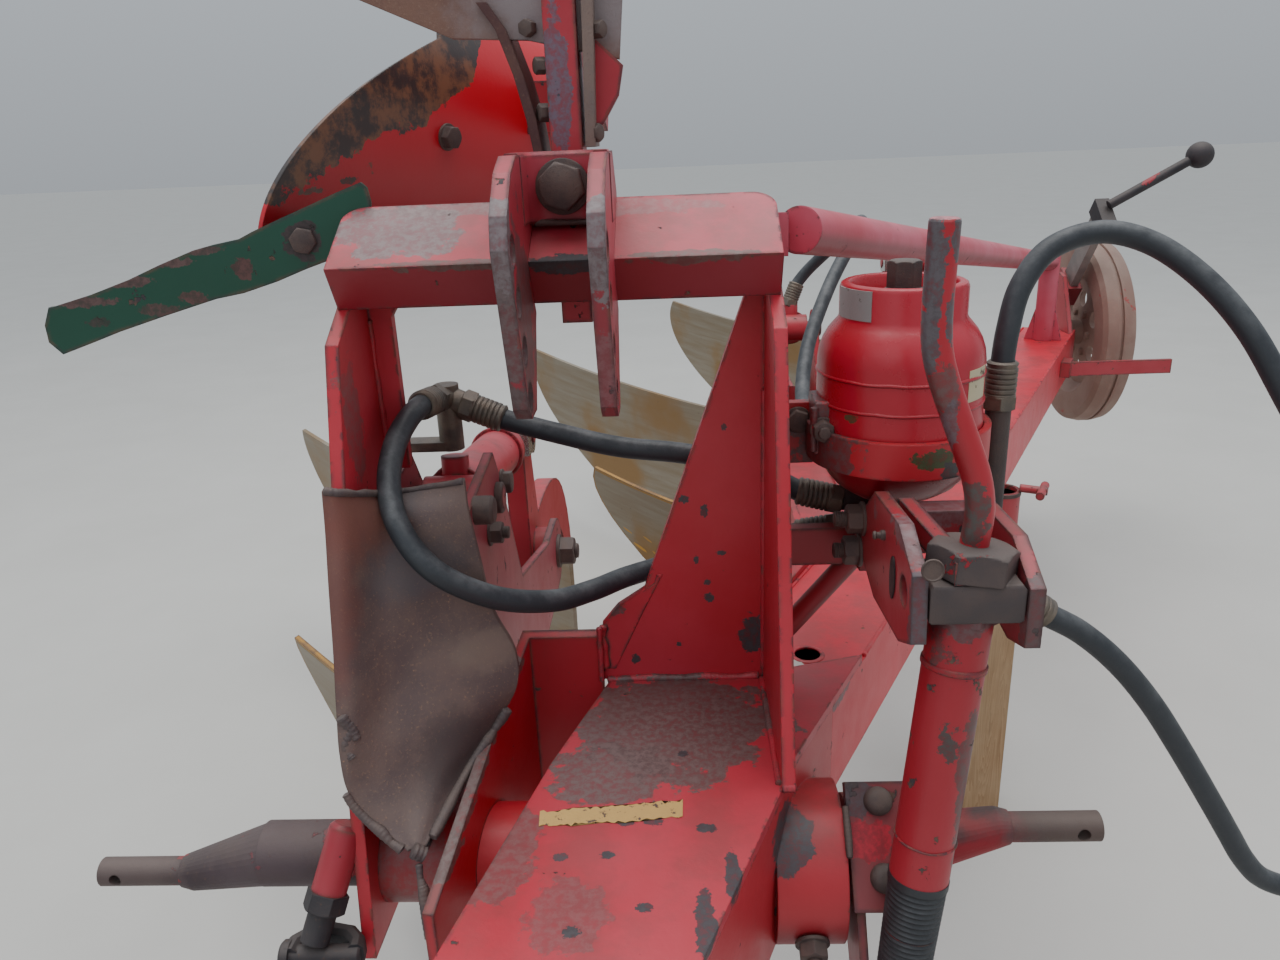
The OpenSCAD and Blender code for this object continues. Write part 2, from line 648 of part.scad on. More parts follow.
// Working surface of a body: level lines at share_angle and more, hollow up its shin.
// phi runs up the hollow, s along each level line from the shin; d is depth behind the surface.
phi_0 = 28;
phi_1 = 46;
phi_2 = 105;
function line_angle(phi) = share_angle + board_twist * (phi - phi_0) / (phi_2 - phi_0);
function behind(phi) = unit([cos(line_angle(phi)) * sin(phi), sin(line_angle(phi)) * sin(phi),
    -sin(line_angle(phi)) * cos(phi)]);
function body_pt(phi, s, d, k) = let (a = line_angle(phi), n = behind(phi), p = k * [-s * sin(a),
        board_r * (sin(phi) - sin(phi_0)) + s * cos(a),
        board_r * (cos(phi_0) - cos(phi)) + board_rise * (s / board_len) ^ 2 * (phi - phi_0) / (phi_2 - phi_0)])
    [p.x + d * n.x, p.y + d * n.y, max(0, p.z + d * n.z)];
function line_len(phi) = phi <= phi_1 ? share_len - 20 * (phi - phi_0) / (phi_1 - phi_0)
    : share_len - 20 + (board_len - share_len + 20) * sin(112 * (phi - phi_1) / (phi_2 - phi_1));
function sheet(pa, pb, rows, cols, d, k, len_max = 2000) =
    [for (r = [0:rows]) let (phi = pa + (pb - pa) * r / rows)
        [for (c = [0:cols]) body_pt(phi, min(len_max, line_len(phi)) * c / cols, d, k)]];
module body_sheet(pa, pb, rows, cols, d0, d1, k = 1, len_max = 2000) {
    skin(sheet(pa, pb, rows, cols, d0, k, len_max), sheet(pa, pb, rows, cols, d1, k, len_max));
}
module in_body(i) { in_unit(i) translate([land_x, share_y, ground_z]) children(); }

module share(i) color(steel) {
    in_body(i) body_sheet(phi_0, phi_1, 3, 6, 0, share_t);
    in_body(i) intersection() {
        body_sheet(phi_0 + 6, 74, 5, 2, share_t - 1, 95, 1, 420);
        translate([-land_x - leg_t / 2 - 75, 0, 10]) cube([75, 430, 220]);
    }
    in_unit(i) plate_yz(leg_t / 2, land_x - leg_t / 2 - fit, [[share_y + 205, ground_z],
        [share_y + 205 + landside_len, ground_z], [share_y + 205 + landside_len, ground_z + 60],
        [share_y + 350, ground_z + 80], [leg_back + 40, ground_z + 190], [leg_back - 40, ground_z + 190],
        [share_y + 260, ground_z + 80]]);
}
module mouldboard(i) color(worn) in_body(i) body_sheet(phi_1 + 0.1, phi_2, 12, 9, 0, board_t);

// Skimmer: a small body on a flat stem, clamped to the bracket's furrow side
module skimmer(i) {
    in_unit(i) {
        color(worn) translate([-unit_w - 12 - skim_in, skim_y, ground_z + skim_z])
            body_sheet(phi_0, phi_2, 10, 6, 0, board_t, skim_scale);
        color(yellow) plate_yz(-unit_w - 12 - stem_t, stem_t, [[skim_y + 128, ground_z + skim_z + 90],
            [skim_y + 188, ground_z + skim_z + 90], [skim_y + 205, -120], [skim_y + 190, 150],
            [skim_y + 130, 150], [skim_y + 145, -120]]);
        color(yellow) translate([-unit_w - 12, skim_y + 120, 50]) cube([12, 80, 80]);
    }
}

// Stowed small body behind the crossbeam
module in_spare() { translate(spare_at) rotate(spare_turn) children(); }
module spare_board() color(red) in_spare() body_sheet(phi_0, phi_2, 12, 7, 0, spare_t, spare_scale);
module spare_leg() color(dark_red) {
    plate_yz(spare_leg_x, spare_leg_t, [[spare_y0, 486], [spare_y0 + 34, 486], [spare_y0 + 40, 640],
        [spare_y0 + 110, 720], [spare_y0 + 380, 660], [spare_y0 + 430, 700], [spare_y0 + 300, 790],
        [spare_y0 + 60, 815], [spare_y0, 770]]);
    intersection() {
        in_spare() body_sheet(phi_0 + 12, 90, 5, 2, spare_t + 0.8, 90, spare_scale, 300);
        translate([spare_leg_x - 90, spare_y0 + 330, 660]) cube([90, 90, 60]);
    }
}
tail_boss = tail_a + 0.76 * (tail_b - tail_a);
module spare_tail() color(green) difference() {
    union() {
        bar_flat(tail_a, tail_b, tail_w, tail_t);
        bar(tail_boss, tail_boss + [8, 60, -8], 28);
    }
    in_spare() body_sheet(phi_0, phi_2, 12, 7, -80, spare_t + fit, spare_scale);
}
module bar_flat(a, b, w, t) {
    v = b - a;
    translate(a) rotate([0, acos(v.z / norm(v)), atan2(v.y, v.x)]) translate([-w / 2, -t / 2, 0])
        difference() {
            cube([w, t, norm(v)]);
            translate([w / 2, -1, norm(v) - 60]) rotate([-90, 0, 0]) cylinder(d = 14, h = t + 2);
        }
}

// Gas accumulator, held in a band at the end of a flat arm
module accumulator() color(red) {
    translate([acc_xy.x, acc_xy.y, acc_z]) {
        rotate_extrude() polygon([[0, 0], [24, 0], [48, 9], [66, 26], [acc_d / 2 - 3, 48], [acc_d / 2, 62],
            [acc_d / 2, acc_h - 52], [acc_d / 2 - 4, acc_h - 34], [acc_d / 2 - 16, acc_h - 14],
            [56, acc_h - 2], [0, acc_h]]);
        translate([0, 0, acc_h - 12]) difference() {
            cylinder(d = acc_ring_d, h = 42);
            translate([0, 0, 14]) cylinder(d = acc_ring_d - 14, h = 42);
        }
        cylinder(d = 34, h = acc_h + 18);
        translate([0, 0, acc_h + 10]) cylinder(d = 26, h = 24, $fn = 6);
    }
}
module accumulator_arm() color(dark_red) difference() {
    union() {
        translate([tower_x, tower_back_y - 4, acc_arm_z]) cube([acc_xy.x - tower_x, 12, 62]);
        translate([acc_xy.x, acc_xy.y, acc_arm_z + 14]) cylinder(d = acc_d + 14, h = 34);
    }
    translate([acc_xy.x, acc_xy.y, acc_arm_z - 100]) cylinder(d = acc_d + 2 * fit, h = 300);
}
// Block under the accumulator that the hoses screw into
module valve_block() color(dark_red) {
    translate([acc_xy.x - 19, acc_xy.y - 15, acc_z - 66]) cube([44, 70, 66]);
    for (z = [block_z1, block_z2]) bar_x(acc_xy.x - 54, block_y, z, 26, 36);
    bar([acc_xy.x, acc_xy.y + 54, block_z2], [acc_xy.x, acc_xy.y + 80, block_z2], 26);
    bar_x(acc_xy.x + 24, supply_y, block_z2, 24, supply_x - acc_xy.x - 24);
    translate([supply_x, supply_y, block_z2 - 12]) cylinder(d = 24.5, h = supply_z - block_z2 + 12);
}

// Depth wheel on a flat bar that slides in a sleeve behind the beam's end
wheel_x = beam_end.x + 129;
wheel_y = beam_end.y + 80;
col_x = beam_end.x + 42;
col_top = [beam_end.y - 146, 418];
crank_a = [col_x + 19, col_top.x - 7, col_top.y + 18];
crank_b = [col_x + 234, col_top.x, col_top.y + 132];
module in_column() { translate([col_x, col_top.x, col_top.y]) rotate([col_lean, 0, 0]) children(); }
module wheel_bracket() color(red) {
    in_column() translate([0, 0, -col_guide_s - col_guide_len]) difference() {
        translate([-fit - guide_t, -col_w / 2 - fit - guide_t, 0])
            cube([col_t + 2 * fit + 2 * guide_t, col_w + 2 * fit + 2 * guide_t, col_guide_len]);
        translate([-fit, -col_w / 2 - fit, -1]) cube([col_t + 2 * fit, col_w + 2 * fit, col_guide_len + 2]);
    }
    translate([0, beam_end.y, 0]) plate_yz(col_x - fit - guide_t - 11, 12, [[-88, beam_z], [-24, beam_z],
        [48, 140], [70, 180], [24, 244], [-6, 236], [-56, 150]]);
    in_beam(beam_w / 2, beam_u0 + beam_len - 290, beam_z - 70) scraper();
}
module scraper() {
    cube([24, 60, 40]);
    translate([10, 8, 2]) rotate([0, 0, beam_angle]) cube([scraper_len, 10, 36]);
}
// A point of the bar's outline, from its place across and along the bar
function col_at(y, z) = col_top + [y * cos(col_lean) - z * sin(col_lean), y * sin(col_lean) + z * cos(col_lean)];
module wheel_column() color(steel) {
    plate_yz(col_x, col_t, [col_at(-col_w / 2, 0), col_at(-col_w / 2, 12 - col_len), [wheel_y - 46, 120],
        [wheel_y - 36, wheel_z + 10], [wheel_y - 20, wheel_z - 32], [wheel_y + 20, wheel_z - 32],
        [wheel_y + 36, wheel_z + 10], [wheel_y + 28, 150], col_at(col_w / 2, -col_len), col_at(col_w / 2, 0)]);
    bar_x(col_x, wheel_y, wheel_z, axle_d, wheel_x + wheel_w / 2 + 24 - col_x);
    bar_x(col_x - 2, wheel_y, wheel_z, 86, 26);
    bar_x(wheel_x + wheel_w / 2 + 6, wheel_y, wheel_z, 50, 14);
}
module depth_wheel() color(tyre) translate([wheel_x, wheel_y, wheel_z]) rotate([0, 90, 0]) difference() {
    rotate_extrude() polygon([[0, -36], [34, -36], [36, -12], [150, -6], [166, -30], [176, -40],
        [wheel_d / 2 - 22, -wheel_w / 2], [wheel_d / 2 - 6, -wheel_w / 2 + 8], [wheel_d / 2, -12],
        [wheel_d / 2, -4], [wheel_d / 2 - 6, -3], [wheel_d / 2 - 6, 3], [wheel_d / 2, 4], [wheel_d / 2, 12],
        [wheel_d / 2 - 6, wheel_w / 2 - 8], [wheel_d / 2 - 22, wheel_w / 2], [176, 40], [166, 30],
        [150, 8], [36, 4], [34, 36], [0, 36]]);
    cylinder(d = axle_d + 2 * fit, h = 200, center = true);
    for (a = [0:60:300]) rotate(a) translate([96, 0, -50]) cylinder(d = 46, h = 100);
}
module wheel_crank() color(steel) {
    in_column() difference() {
        translate([-4, -col_w / 2 - 12, -38]) cube([col_t + 16, col_w + 24, 46]);
        translate([-fit, -col_w / 2 - fit, -39]) cube([col_t + 2 * fit, col_w + 2 * fit, 39 + fit]);
    }
    bar(crank_a, crank_b, 24);
    translate(crank_b) sphere(d = 65);
}

// Screw spindle between a trunnion on its bracket and the shaft's lever
spindle_top = [spindle_x, spindle_y, spindle_z];
spindle_low = [lever_x + lever_w / 2, spindle_low_yz.x, spindle_low_yz.y];
module along_spindle(s) {
    v = spindle_low - spindle_top;
    translate(spindle_top) rotate([0, acos(v.z / norm(v)), atan2(v.y, v.x)]) translate([0, 0, s]) children();
}
spindle_len = norm(spindle_low - spindle_top);
module spindle() color(red) difference() {
    union() {
        along_spindle(16) cylinder(d = spindle_d, h = 248);
        for (k = [0:6]) along_spindle(264 + 8 * k) cylinder(d1 = 46, d2 = 38, h = 8);
        bar_x(spindle_low.x - 10, spindle_low.y, spindle_low.z, spindle_eye_d + 24, 20);
        along_spindle(310) cylinder(d = 18, h = spindle_len - 310 - 10);
        bar_x(lug_l_x + lug_t + fit, spindle_y, spindle_z, 24, lug_r_x - lug_l_x - lug_t - 2 * fit);
        along_spindle(-24) cylinder(d = 56, h = 48, $fn = 6);
    }
    bar_x(spindle_low.x - 20, spindle_low.y, spindle_low.z, spindle_eye_d, 40);
}
module spindle_handle() color(red) tube(smooth(handle_line, 30), handle_d, 12);
module spindle_bracket() color(dark_red) difference() {
    union() {
        plate_yz(lug_l_x, lug_t, [[137, 270], [130, 298], [98, 312], [56, 344],
            [-40, 352], [-92, 330], [-98, 275], [-58, 256], [42, 246]]);
        plate_yz(lug_r_x, lug_t, [[70, 300], [66, 340], [-50, 344], [-98, 320], [-98, 270], [-60, 258], [40, 270]]);
        translate([lug_l_x + lug_t, 34, 292]) cube([lug_r_x - lug_l_x - lug_t, 26, 40]);
        translate([tower_x, tower_back_y - 16, 232]) cube([lug_l_x + lug_t - tower_x, 16, 40]);
        plate_yz(lug_l_x, lug_t, [[tower_back_y, 232], [tower_back_y, 272], [130, 300], [110, 262], [110, 240]]);
        bar([tower_x + 8, tower_back_y - 8, 150], [lug_l_x + 4, tower_back_y - 8, 240], 22);
        bar([lug_r_x + 4, plug_end.y + 3, plug_end.z + 24], plug_end, 34);
    }
    bar_x(lug_l_x - 1, spindle_y, spindle_z, 24 + 2 * fit, lug_t + 2);
    bar_x(lug_r_x - 1, spindle_y, spindle_z, 24 + 2 * fit, lug_t + 2);
    bar_x(lug_l_x - 1, 100, 300, 16, lug_t + 2);
}

// Parking socket beside the beam, and the timber that holds the plough up
socket_v = beam_w / 2 + socket_d / 2;
module stand_socket() color(dark_red) {
    in_beam(socket_v, socket_u, beam_z - beam_h) difference() {
        cylinder(d = socket_d, h = 80);
        translate([0, 0, 12]) cylinder(d = socket_d - 12, h = 80);
    }
    in_beam(beam_w / 2, socket_u - 8, beam_z - beam_h + 10) cube([5, 16, 50]);
    in_beam(socket_v + socket_d / 2 - 2, socket_u, beam_z - 24) rotate([0, 90, 0]) cylinder(d = 14, h = 44);
    in_beam(socket_v + socket_d / 2 + 34, socket_u, beam_z - 24) rotate([90, 0, 0])
        cylinder(d = 14, h = 60, center = true);
}
module timber_post() color(wood) in_beam(socket_v, socket_u, ground_z) rotate([0, 0, beam_angle])
    translate([-timber_w / 2, -timber_w / 2, 0]) cube([timber_w, timber_w, beam_z - beam_h - ground_z]);

// Hose ends and hoses
module tee_block() color(steel) {
    translate([tee.x, tee.y, tee.z - 57]) cylinder(d = 26, h = 71);
    bar(tee, tee + [26, -3, -11], 26);
    bar(tee, tee + [-8, -25, 4], 26);
    translate([tower_in_l, tee.y - 12, tee.z - 57]) cube([tee.x - tower_in_l, 24, 10]);
}
module hose_supply() color(rubber) tube(smooth(supply_route, 56), hose_d);
module hose_trip() color(rubber) tube(smooth(trip_route, 56), hose_d);
module hose_link() color(rubber) tube(smooth(link_route, 56), hose_d);
module hose_rear() color(rubber) tube(smooth(rear_route, 56), hose_d);

main_beam();
headstock();
nose_plate();
hitch_shaft();
shaft_lever();
tower_left();
tower_right();
gusset();
crossbeam();
top_link_bracket();
stay_tube();
stay_post();
bracket_box();  // bracket_1
bracket(1);  // bracket_2
bracket(2);  // bracket_3
barrel(0);  // barrel_1
barrel(1);  // barrel_2
barrel(2);  // barrel_3
rod(0);  // rod_1
rod(1);  // rod_2
rod(2);  // rod_3
leg(0);  // leg_1
leg(1);  // leg_2
leg(2);  // leg_3
share(0);  // share_1
share(1);  // share_2
share(2);  // share_3
mouldboard(0);  // mouldboard_1
mouldboard(1);  // mouldboard_2
mouldboard(2);  // mouldboard_3
skimmer(0);  // skimmer_1
skimmer(1);  // skimmer_2
skimmer(2);  // skimmer_3
spare_leg();
spare_board();
spare_tail();
accumulator();
accumulator_arm();
valve_block();
wheel_bracket();
wheel_column();
depth_wheel();
wheel_crank();
spindle_bracket();
spindle();
spindle_handle();
stand_socket();
timber_post();
tee_block();  // hose_tee
hose_supply();
hose_trip();
hose_link();
hose_rear();
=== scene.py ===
import math

import bmesh
import bpy
import numpy as np
from mathutils import Euler, Matrix


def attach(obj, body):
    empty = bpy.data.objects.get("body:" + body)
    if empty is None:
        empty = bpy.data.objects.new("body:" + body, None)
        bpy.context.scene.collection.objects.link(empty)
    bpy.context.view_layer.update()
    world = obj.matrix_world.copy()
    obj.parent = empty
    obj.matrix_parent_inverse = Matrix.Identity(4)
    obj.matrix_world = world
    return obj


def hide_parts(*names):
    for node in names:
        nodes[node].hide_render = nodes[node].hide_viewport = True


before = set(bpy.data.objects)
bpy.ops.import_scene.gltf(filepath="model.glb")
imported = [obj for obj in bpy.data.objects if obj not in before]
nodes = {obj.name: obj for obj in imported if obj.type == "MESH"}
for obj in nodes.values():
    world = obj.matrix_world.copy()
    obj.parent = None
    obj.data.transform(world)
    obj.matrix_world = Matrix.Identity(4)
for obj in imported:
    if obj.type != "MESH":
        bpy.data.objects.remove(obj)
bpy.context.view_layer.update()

# Camera
# It stands in front of the hitch, 1.25 m above the ground, and looks down
# along the beam, turned a little to the left and rolled a little.
def facing(side, over, back, at):
    """Pose at a place whose own x, y and z axes are the three unit vectors."""
    return Matrix([[side[k], over[k], back[k], at[k]] for k in range(3)] + [[0, 0, 0, 1]])


camera_at = (0.1057, -0.7585, 0.6530)
camera_right = (0.99871, 0.03093, -0.04025)
camera_up = (0.02743, 0.33838, 0.94061)
camera_back = (0.04271, -0.94050, 0.33710)
camera_data = bpy.data.cameras.new("camera")
camera_data.sensor_width = 36.0
camera_data.lens = 27.03
camera_data.clip_start = 0.02
camera_data.clip_end = 60.0
camera = bpy.data.objects.new("camera", camera_data)
camera.matrix_world = facing(camera_right, camera_up, camera_back, camera_at)
bpy.context.scene.collection.objects.link(camera)
bpy.context.scene.camera = camera


# Hoses
# Black hydraulic hoses with a smooth rubber cover over wire braid, 22 mm thick.
# Each is pressed into a steel end at the tee, the valve block or a cylinder.
HOSE_D = 0.022
HOSE_SIDES = 20
ROUTES = {
    "hose_trip": [[-114, 222, 389], [-88, 219, 378], [-20, 210, 360], [42, 203, 346], [116, 201, 336],
                  [184, 194, 318], [228, 182, 299], [246, 178, 292.5], [261, 178, 292]],
    "hose_link": [[-148, 198.5, 404], [-149, 186, 406], [-152, 158, 408], [-158, 130, 402],
                  [-163, 96, 387], [-162, 62, 362], [-148, 31, 331], [-117, 17, 294], [-70, 38, 256],
                  [-22, 74, 233], [14, 116, 223], [46, 158, 217], [96, 190, 217], [152, 200, 225],
                  [206, 189, 243], [238, 180, 256], [261, 178, 258]],
    "hose_rear": [[315, 220, 258], [315, 248, 258], [308, 330, 253], [296, 450, 252], [288, 560, 261],
                  [291, 650, 284], [310, 728, 340], [350, 806, 410], [392, 880, 462], [424, 950, 492],
                  [436, 1016, 494], [424, 1070, 470], [394, 1106, 434], [358, 1122, 396],
                  [334, 1120, 365], [325, 1115, 340]],
    "hose_supply": [[416, 156, 400], [416, 156, 430], [420, 160, 466], [432, 170, 505],
                    [460, 181, 537], [507, 187, 550], [552, 177, 539], [592, 154, 508],
                    [625, 128, 465], [655, 108, 410], [690, 92, 345], [727, 80, 268], [767, 73, 186],
                    [801, 67, 103], [824, 63, 37], [831, 60, -19], [823, 59, -56], [800, 58, -87],
                    [766, 57, -104], [728, 55, -106], [692, 54, -92], [668, 52, -66], [648, 51, -34],
                    [626, 50, 2], [584, 47, 69], [545, 43, 127], [506, 39, 174], [467, 35, 209],
                    [430, 31, 232], [404, 29, 252]],
}


def cubic(a, b, c, e, t):
    """Catmull-Rom span from b to c: its slope at a point is half the way between that point's two
    neighbours."""
    return 0.5 * (2 * b + (c - a) * t + (2 * a - 5 * b + 4 * c - e) * t**2
                  + (3 * b - a - 3 * c + e) * t**3)


def spline(points, step):
    """Catmull-Rom curve through points in mm, at places about step metres apart."""
    p = np.array(points, float) / 1000
    out = []
    for i in range(len(p) - 1):
        a, b, c, e = p[max(i - 1, 0)], p[i], p[i + 1], p[min(i + 2, len(p) - 1)]
        t = np.arange(0, 1, step / max(np.linalg.norm(c - b), step))[:, None]
        out.append(cubic(a, b, c, e, t))
    return np.vstack(out + [p[-1:]])


def swept(path, radius, sides):
    """Circle of the given radius carried along the path: each ring lies square to the path, and
    its first spoke is the last ring's spoke, less its part along the path."""
    ahead = np.gradient(path, axis=0)
    ahead /= np.linalg.norm(ahead, axis=1)[:, None]
    spoke = np.cross(ahead[0], [0.0, 0.0, 1.0] if abs(ahead[0][2]) < 0.9 else [0.0, 1.0, 0.0])
    spokes = []
    for a in ahead:
        spoke = spoke - (spoke @ a) * a
        spoke = spoke / np.linalg.norm(spoke)
        spokes.append(spoke)
    spokes = np.array(spokes)
    others = np.cross(ahead, spokes)
    angle = np.linspace(0, 2 * np.pi, sides, endpoint=False)
    r = np.broadcast_to(np.asarray(radius, float), (len(path),))[:, None, None]
    return (path[:, None, :] + r * np.cos(angle)[None, :, None] * spokes[:, None, :]
            + r * np.sin(angle)[None, :, None] * others[:, None, :])


def skin(points, folded=False):
    """Quads round each row of a grid of points, from row to row. Each end is capped by one face,
    or, where a row runs out along one side of a sheet and back along the other, folded, by quads
    between the places across from each other."""
    rows, cols = points.shape[:2]
    r = np.arange(rows - 1)[:, None] * cols
    c = np.arange(cols)[None, :]
    c2 = (c + 1) % cols
    faces = np.stack([r + c, r + c2, r + cols + c2, r + cols + c], -1).reshape(-1, 4).tolist()
    last = (rows - 1) * cols
    if folded:
        i = np.arange(cols // 2 - 1)
        ends = np.stack([cols - 1 - i, cols - 2 - i, i + 1, i], -1)
        faces += ends.tolist() + (ends[:, ::-1] + last).tolist()
    else:
        faces += [list(range(cols))[::-1], list(range(last, last + cols))]
    return points.reshape(-1, 3), faces


def piece(name, parts, material, body, sharp=38):
    """One object from a list of (points, faces), outward faces, smooth up to the sharp angle."""
    points, faces, start = [], [], 0
    for p, f in parts:
        points.append(p)
        faces += [[i + start for i in face] for face in f]
        start += len(p)
    mesh = bpy.data.meshes.new(name)
    mesh.from_pydata(np.vstack(points).tolist(), [], faces)
    mesh.validate()
    shell = bmesh.new()
    shell.from_mesh(mesh)
    bmesh.ops.recalc_face_normals(shell, faces=shell.faces)
    shell.to_mesh(mesh)
    shell.free()
    made = bpy.data.objects.new(name, mesh)
    bpy.context.scene.collection.objects.link(made)
    mesh.materials.append(material)
    mesh.shade_smooth()
    mesh.set_sharp_from_angle(angle=math.radians(sharp))
    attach(made, body)
    return made


class Shade:
    """A Principled material under construction, with short names for the nodes that it uses."""

    def __init__(self, name):
        self.material = bpy.data.materials.new(name)
        self.material.use_nodes = True
        self.tree = self.material.node_tree
        self.tree.nodes.clear()
        self.surface = self.tree.nodes.new("ShaderNodeBsdfPrincipled")
        output = self.tree.nodes.new("ShaderNodeOutputMaterial")
        self.tree.links.new(self.surface.outputs[0], output.inputs[0])
        self.coords = self.tree.nodes.new("ShaderNodeTexCoord")
        self.place = self.coords.outputs["Object"]

    def node(self, kind, inputs=(), **settings):
        """New node with its settings. Its inputs are values by name or number, or in order."""
        made = self.tree.nodes.new(kind)
        for key, value in settings.items():
            setattr(made, key, value)
        for key, value in inputs.items() if isinstance(inputs, dict) else enumerate(inputs):
            self.put(made.inputs[key], value)
        return made

    def put(self, socket, value):
        if value is None:
            return
        if isinstance(value, bpy.types.NodeSocket):
            self.tree.links.new(value, socket)
        elif hasattr(value, "__len__") and len(value) == 3 and socket.type == "RGBA":
            socket.default_value = (*value, 1.0)
        else:
            socket.default_value = value

    def math(self, operation, a, b=None, c=None):
        return self.node("ShaderNodeMath", (a, b, c), operation=operation).outputs[0]

    def noise(self, scale, detail=4.0, rough=0.6, place=None, distortion=0.0):
        return self.node("ShaderNodeTexNoise", {
            "Vector": place or self.place, "Scale": scale, "Detail": detail, "Roughness": rough,
            "Distortion": distortion}).outputs["Fac"]

    def scaled(self, x, y, z):
        return self.node("ShaderNodeMapping", {"Vector": self.place, "Scale": (x, y, z)}).outputs[0]

    def steps(self, value, low, high):
        """0 below low, 1 above high, smooth between."""
        return self.node("ShaderNodeMapRange", {"Value": value, "From Min": low, "From Max": high},
                         interpolation_type="SMOOTHSTEP").outputs[0]

    def mix(self, share, a, b):
        return self.node("ShaderNodeMix", {0: share, 6: a, 7: b}, data_type="RGBA").outputs[2]

    def up(self):
        """How far a face looks up, from the object's own normals."""
        return self.node("ShaderNodeSeparateXYZ", (self.coords.outputs["Normal"],)).outputs[2]

    def soft_normal(self, radius):
        """Normal that seems to round the edges off by a radius in metres."""
        return self.node("ShaderNodeBevel", {"Radius": radius}, samples=4).outputs[0]

    def edges(self, radius):
        """1 at an outer or inner edge of the solid and 0 away from it, by a rounded normal."""
        plain = self.node("ShaderNodeNewGeometry").outputs["Normal"]
        dot = self.node("ShaderNodeVectorMath", (self.soft_normal(radius), plain),
                        operation="DOT_PRODUCT")
        return self.steps(dot.outputs["Value"], 0.995, 0.86)

    def zone(self, centre, radii, ragged=1.0, soft=0.0):
        """1 inside an ellipsoid round centre, given in mm. Its rim is ragged: the distance is
        changed by a noise whose largest teeth are about half of the mean radius. soft is how far
        the rim fades, as a share of the radii."""
        away = self.node("ShaderNodeVectorMath", (self.place, tuple(x / 1000 for x in centre)),
                         operation="SUBTRACT")
        share = self.node("ShaderNodeVectorMath", (away.outputs[0], tuple(x / 1000 for x in radii)),
                          operation="DIVIDE")
        far = self.node("ShaderNodeVectorMath", (share.outputs[0],), operation="LENGTH")
        teeth = self.noise(5100.0 / sum(radii), 8.0, 0.68)
        rough = self.math("MULTIPLY_ADD", teeth, ragged * 2, -ragged)
        level = self.math("ADD", far.outputs["Value"], rough)
        return self.steps(level, 1.02 + soft, 0.94 - soft)

    def finish(self, colour, roughness, metallic=0.0, bump=None, bump_m=0.001, round_m=0.0):
        """The finished material. bump is a height and bump_m its size in metres; round_m is the
        radius that the edges seem to have."""
        normal = self.soft_normal(round_m) if round_m else None
        if bump is not None:
            normal = self.node("ShaderNodeBump", {"Strength": 1.0, "Distance": bump_m,
                                                  "Height": bump, "Normal": normal}).outputs[0]
        for key, value in (("Base Color", colour), ("Roughness", roughness), ("Metallic", metallic),
                           ("Normal", normal)):
            self.put(self.surface.inputs[key], value)
        return self.material


def rubber(name, colour, dusty, scale):
    """Rubber cover: near black, greyer where dust lies on top, with a fine satin grain."""
    s = Shade(name)
    dust = s.math("MULTIPLY", s.steps(s.up(), -0.2, 1.0), s.steps(s.noise(scale, 8.0, 0.7), 0.35, 0.75))
    colour = s.mix(dust, colour, dusty)
    rough = s.math("MULTIPLY_ADD", s.noise(scale * 3, 5.0), 0.25, 0.38)
    return s.finish(colour, rough, bump=s.noise(scale * 16, 3.0), bump_m=0.0002)


hose_black = rubber("hose_black", (0.022, 0.026, 0.032), (0.11, 0.115, 0.12), 30.0)
hose_pieces = {}
for name, route in ROUTES.items():
    path = spline(route, 0.006)
    made = piece(name + "_cover", [skin(swept(path, HOSE_D / 2, HOSE_SIDES))], hose_black, "frame")
    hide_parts(name)
    hose_pieces[name] = path


# Floor and light
# A plain pale floor where the shares and the timber stand, and soft daylight
# from a wide panel above, with a weaker one behind the camera.
FLOOR_Z = -0.592
floor_mesh = bpy.data.meshes.new("floor")
floor_mesh.from_pydata([(-30, -20, FLOOR_Z), (30, -20, FLOOR_Z), (30, 40, FLOOR_Z), (-30, 40, FLOOR_Z)],
                       [], [(0, 1, 2, 3)])
floor = bpy.data.objects.new("floor", floor_mesh)
bpy.context.scene.collection.objects.link(floor)
floor_shade = Shade("pale_floor")
floor_mesh.materials.append(floor_shade.finish(
    floor_shade.mix(floor_shade.noise(3.0, 6.0), (0.50, 0.49, 0.46), (0.58, 0.57, 0.54)), 0.9))

world = bpy.data.worlds.new("daylight")
bpy.context.scene.world = world
world.use_nodes = True
sky, background = world.node_tree, world.node_tree.nodes["Background"]
background.inputs[0].default_value = (0.84, 0.90, 0.97, 1.0)
sky_way = sky.nodes.new("ShaderNodeTexCoord")
sky_split = sky.nodes.new("ShaderNodeSeparateXYZ")
sky_strength = sky.nodes.new("ShaderNodeMapRange")
for key, value in {"From Min": -0.1, "From Max": 0.9, "To Min": 0.42, "To Max": 1.10}.items():
    sky_strength.inputs[key].default_value = value
sky.links.new(sky_way.outputs["Generated"], sky_split.inputs[0])
sky.links.new(sky_split.outputs["Z"], sky_strength.inputs["Value"])
sky.links.new(sky_strength.outputs[0], background.inputs[1])


def unit(v):
    """Vector of the same direction and a length of 1."""
    v = np.array(v, float)
    return v / np.linalg.norm(v)


def panel(name, at, aim, width, power, colour):
    """Square lamp at a place, turned to the place that it aims at."""
    data = bpy.data.lights.new(name, "AREA")
    data.shape = "SQUARE"
    data.size = width
    data.energy = power
    data.color = colour
    lamp = bpy.data.objects.new(name, data)
    back = unit(np.subtract(at, aim))
    side = unit(np.cross([0.0, 1.0, 0.0], back))
    lamp.matrix_world = facing(side, np.cross(back, side), back, at)
    bpy.context.scene.collection.objects.link(lamp)


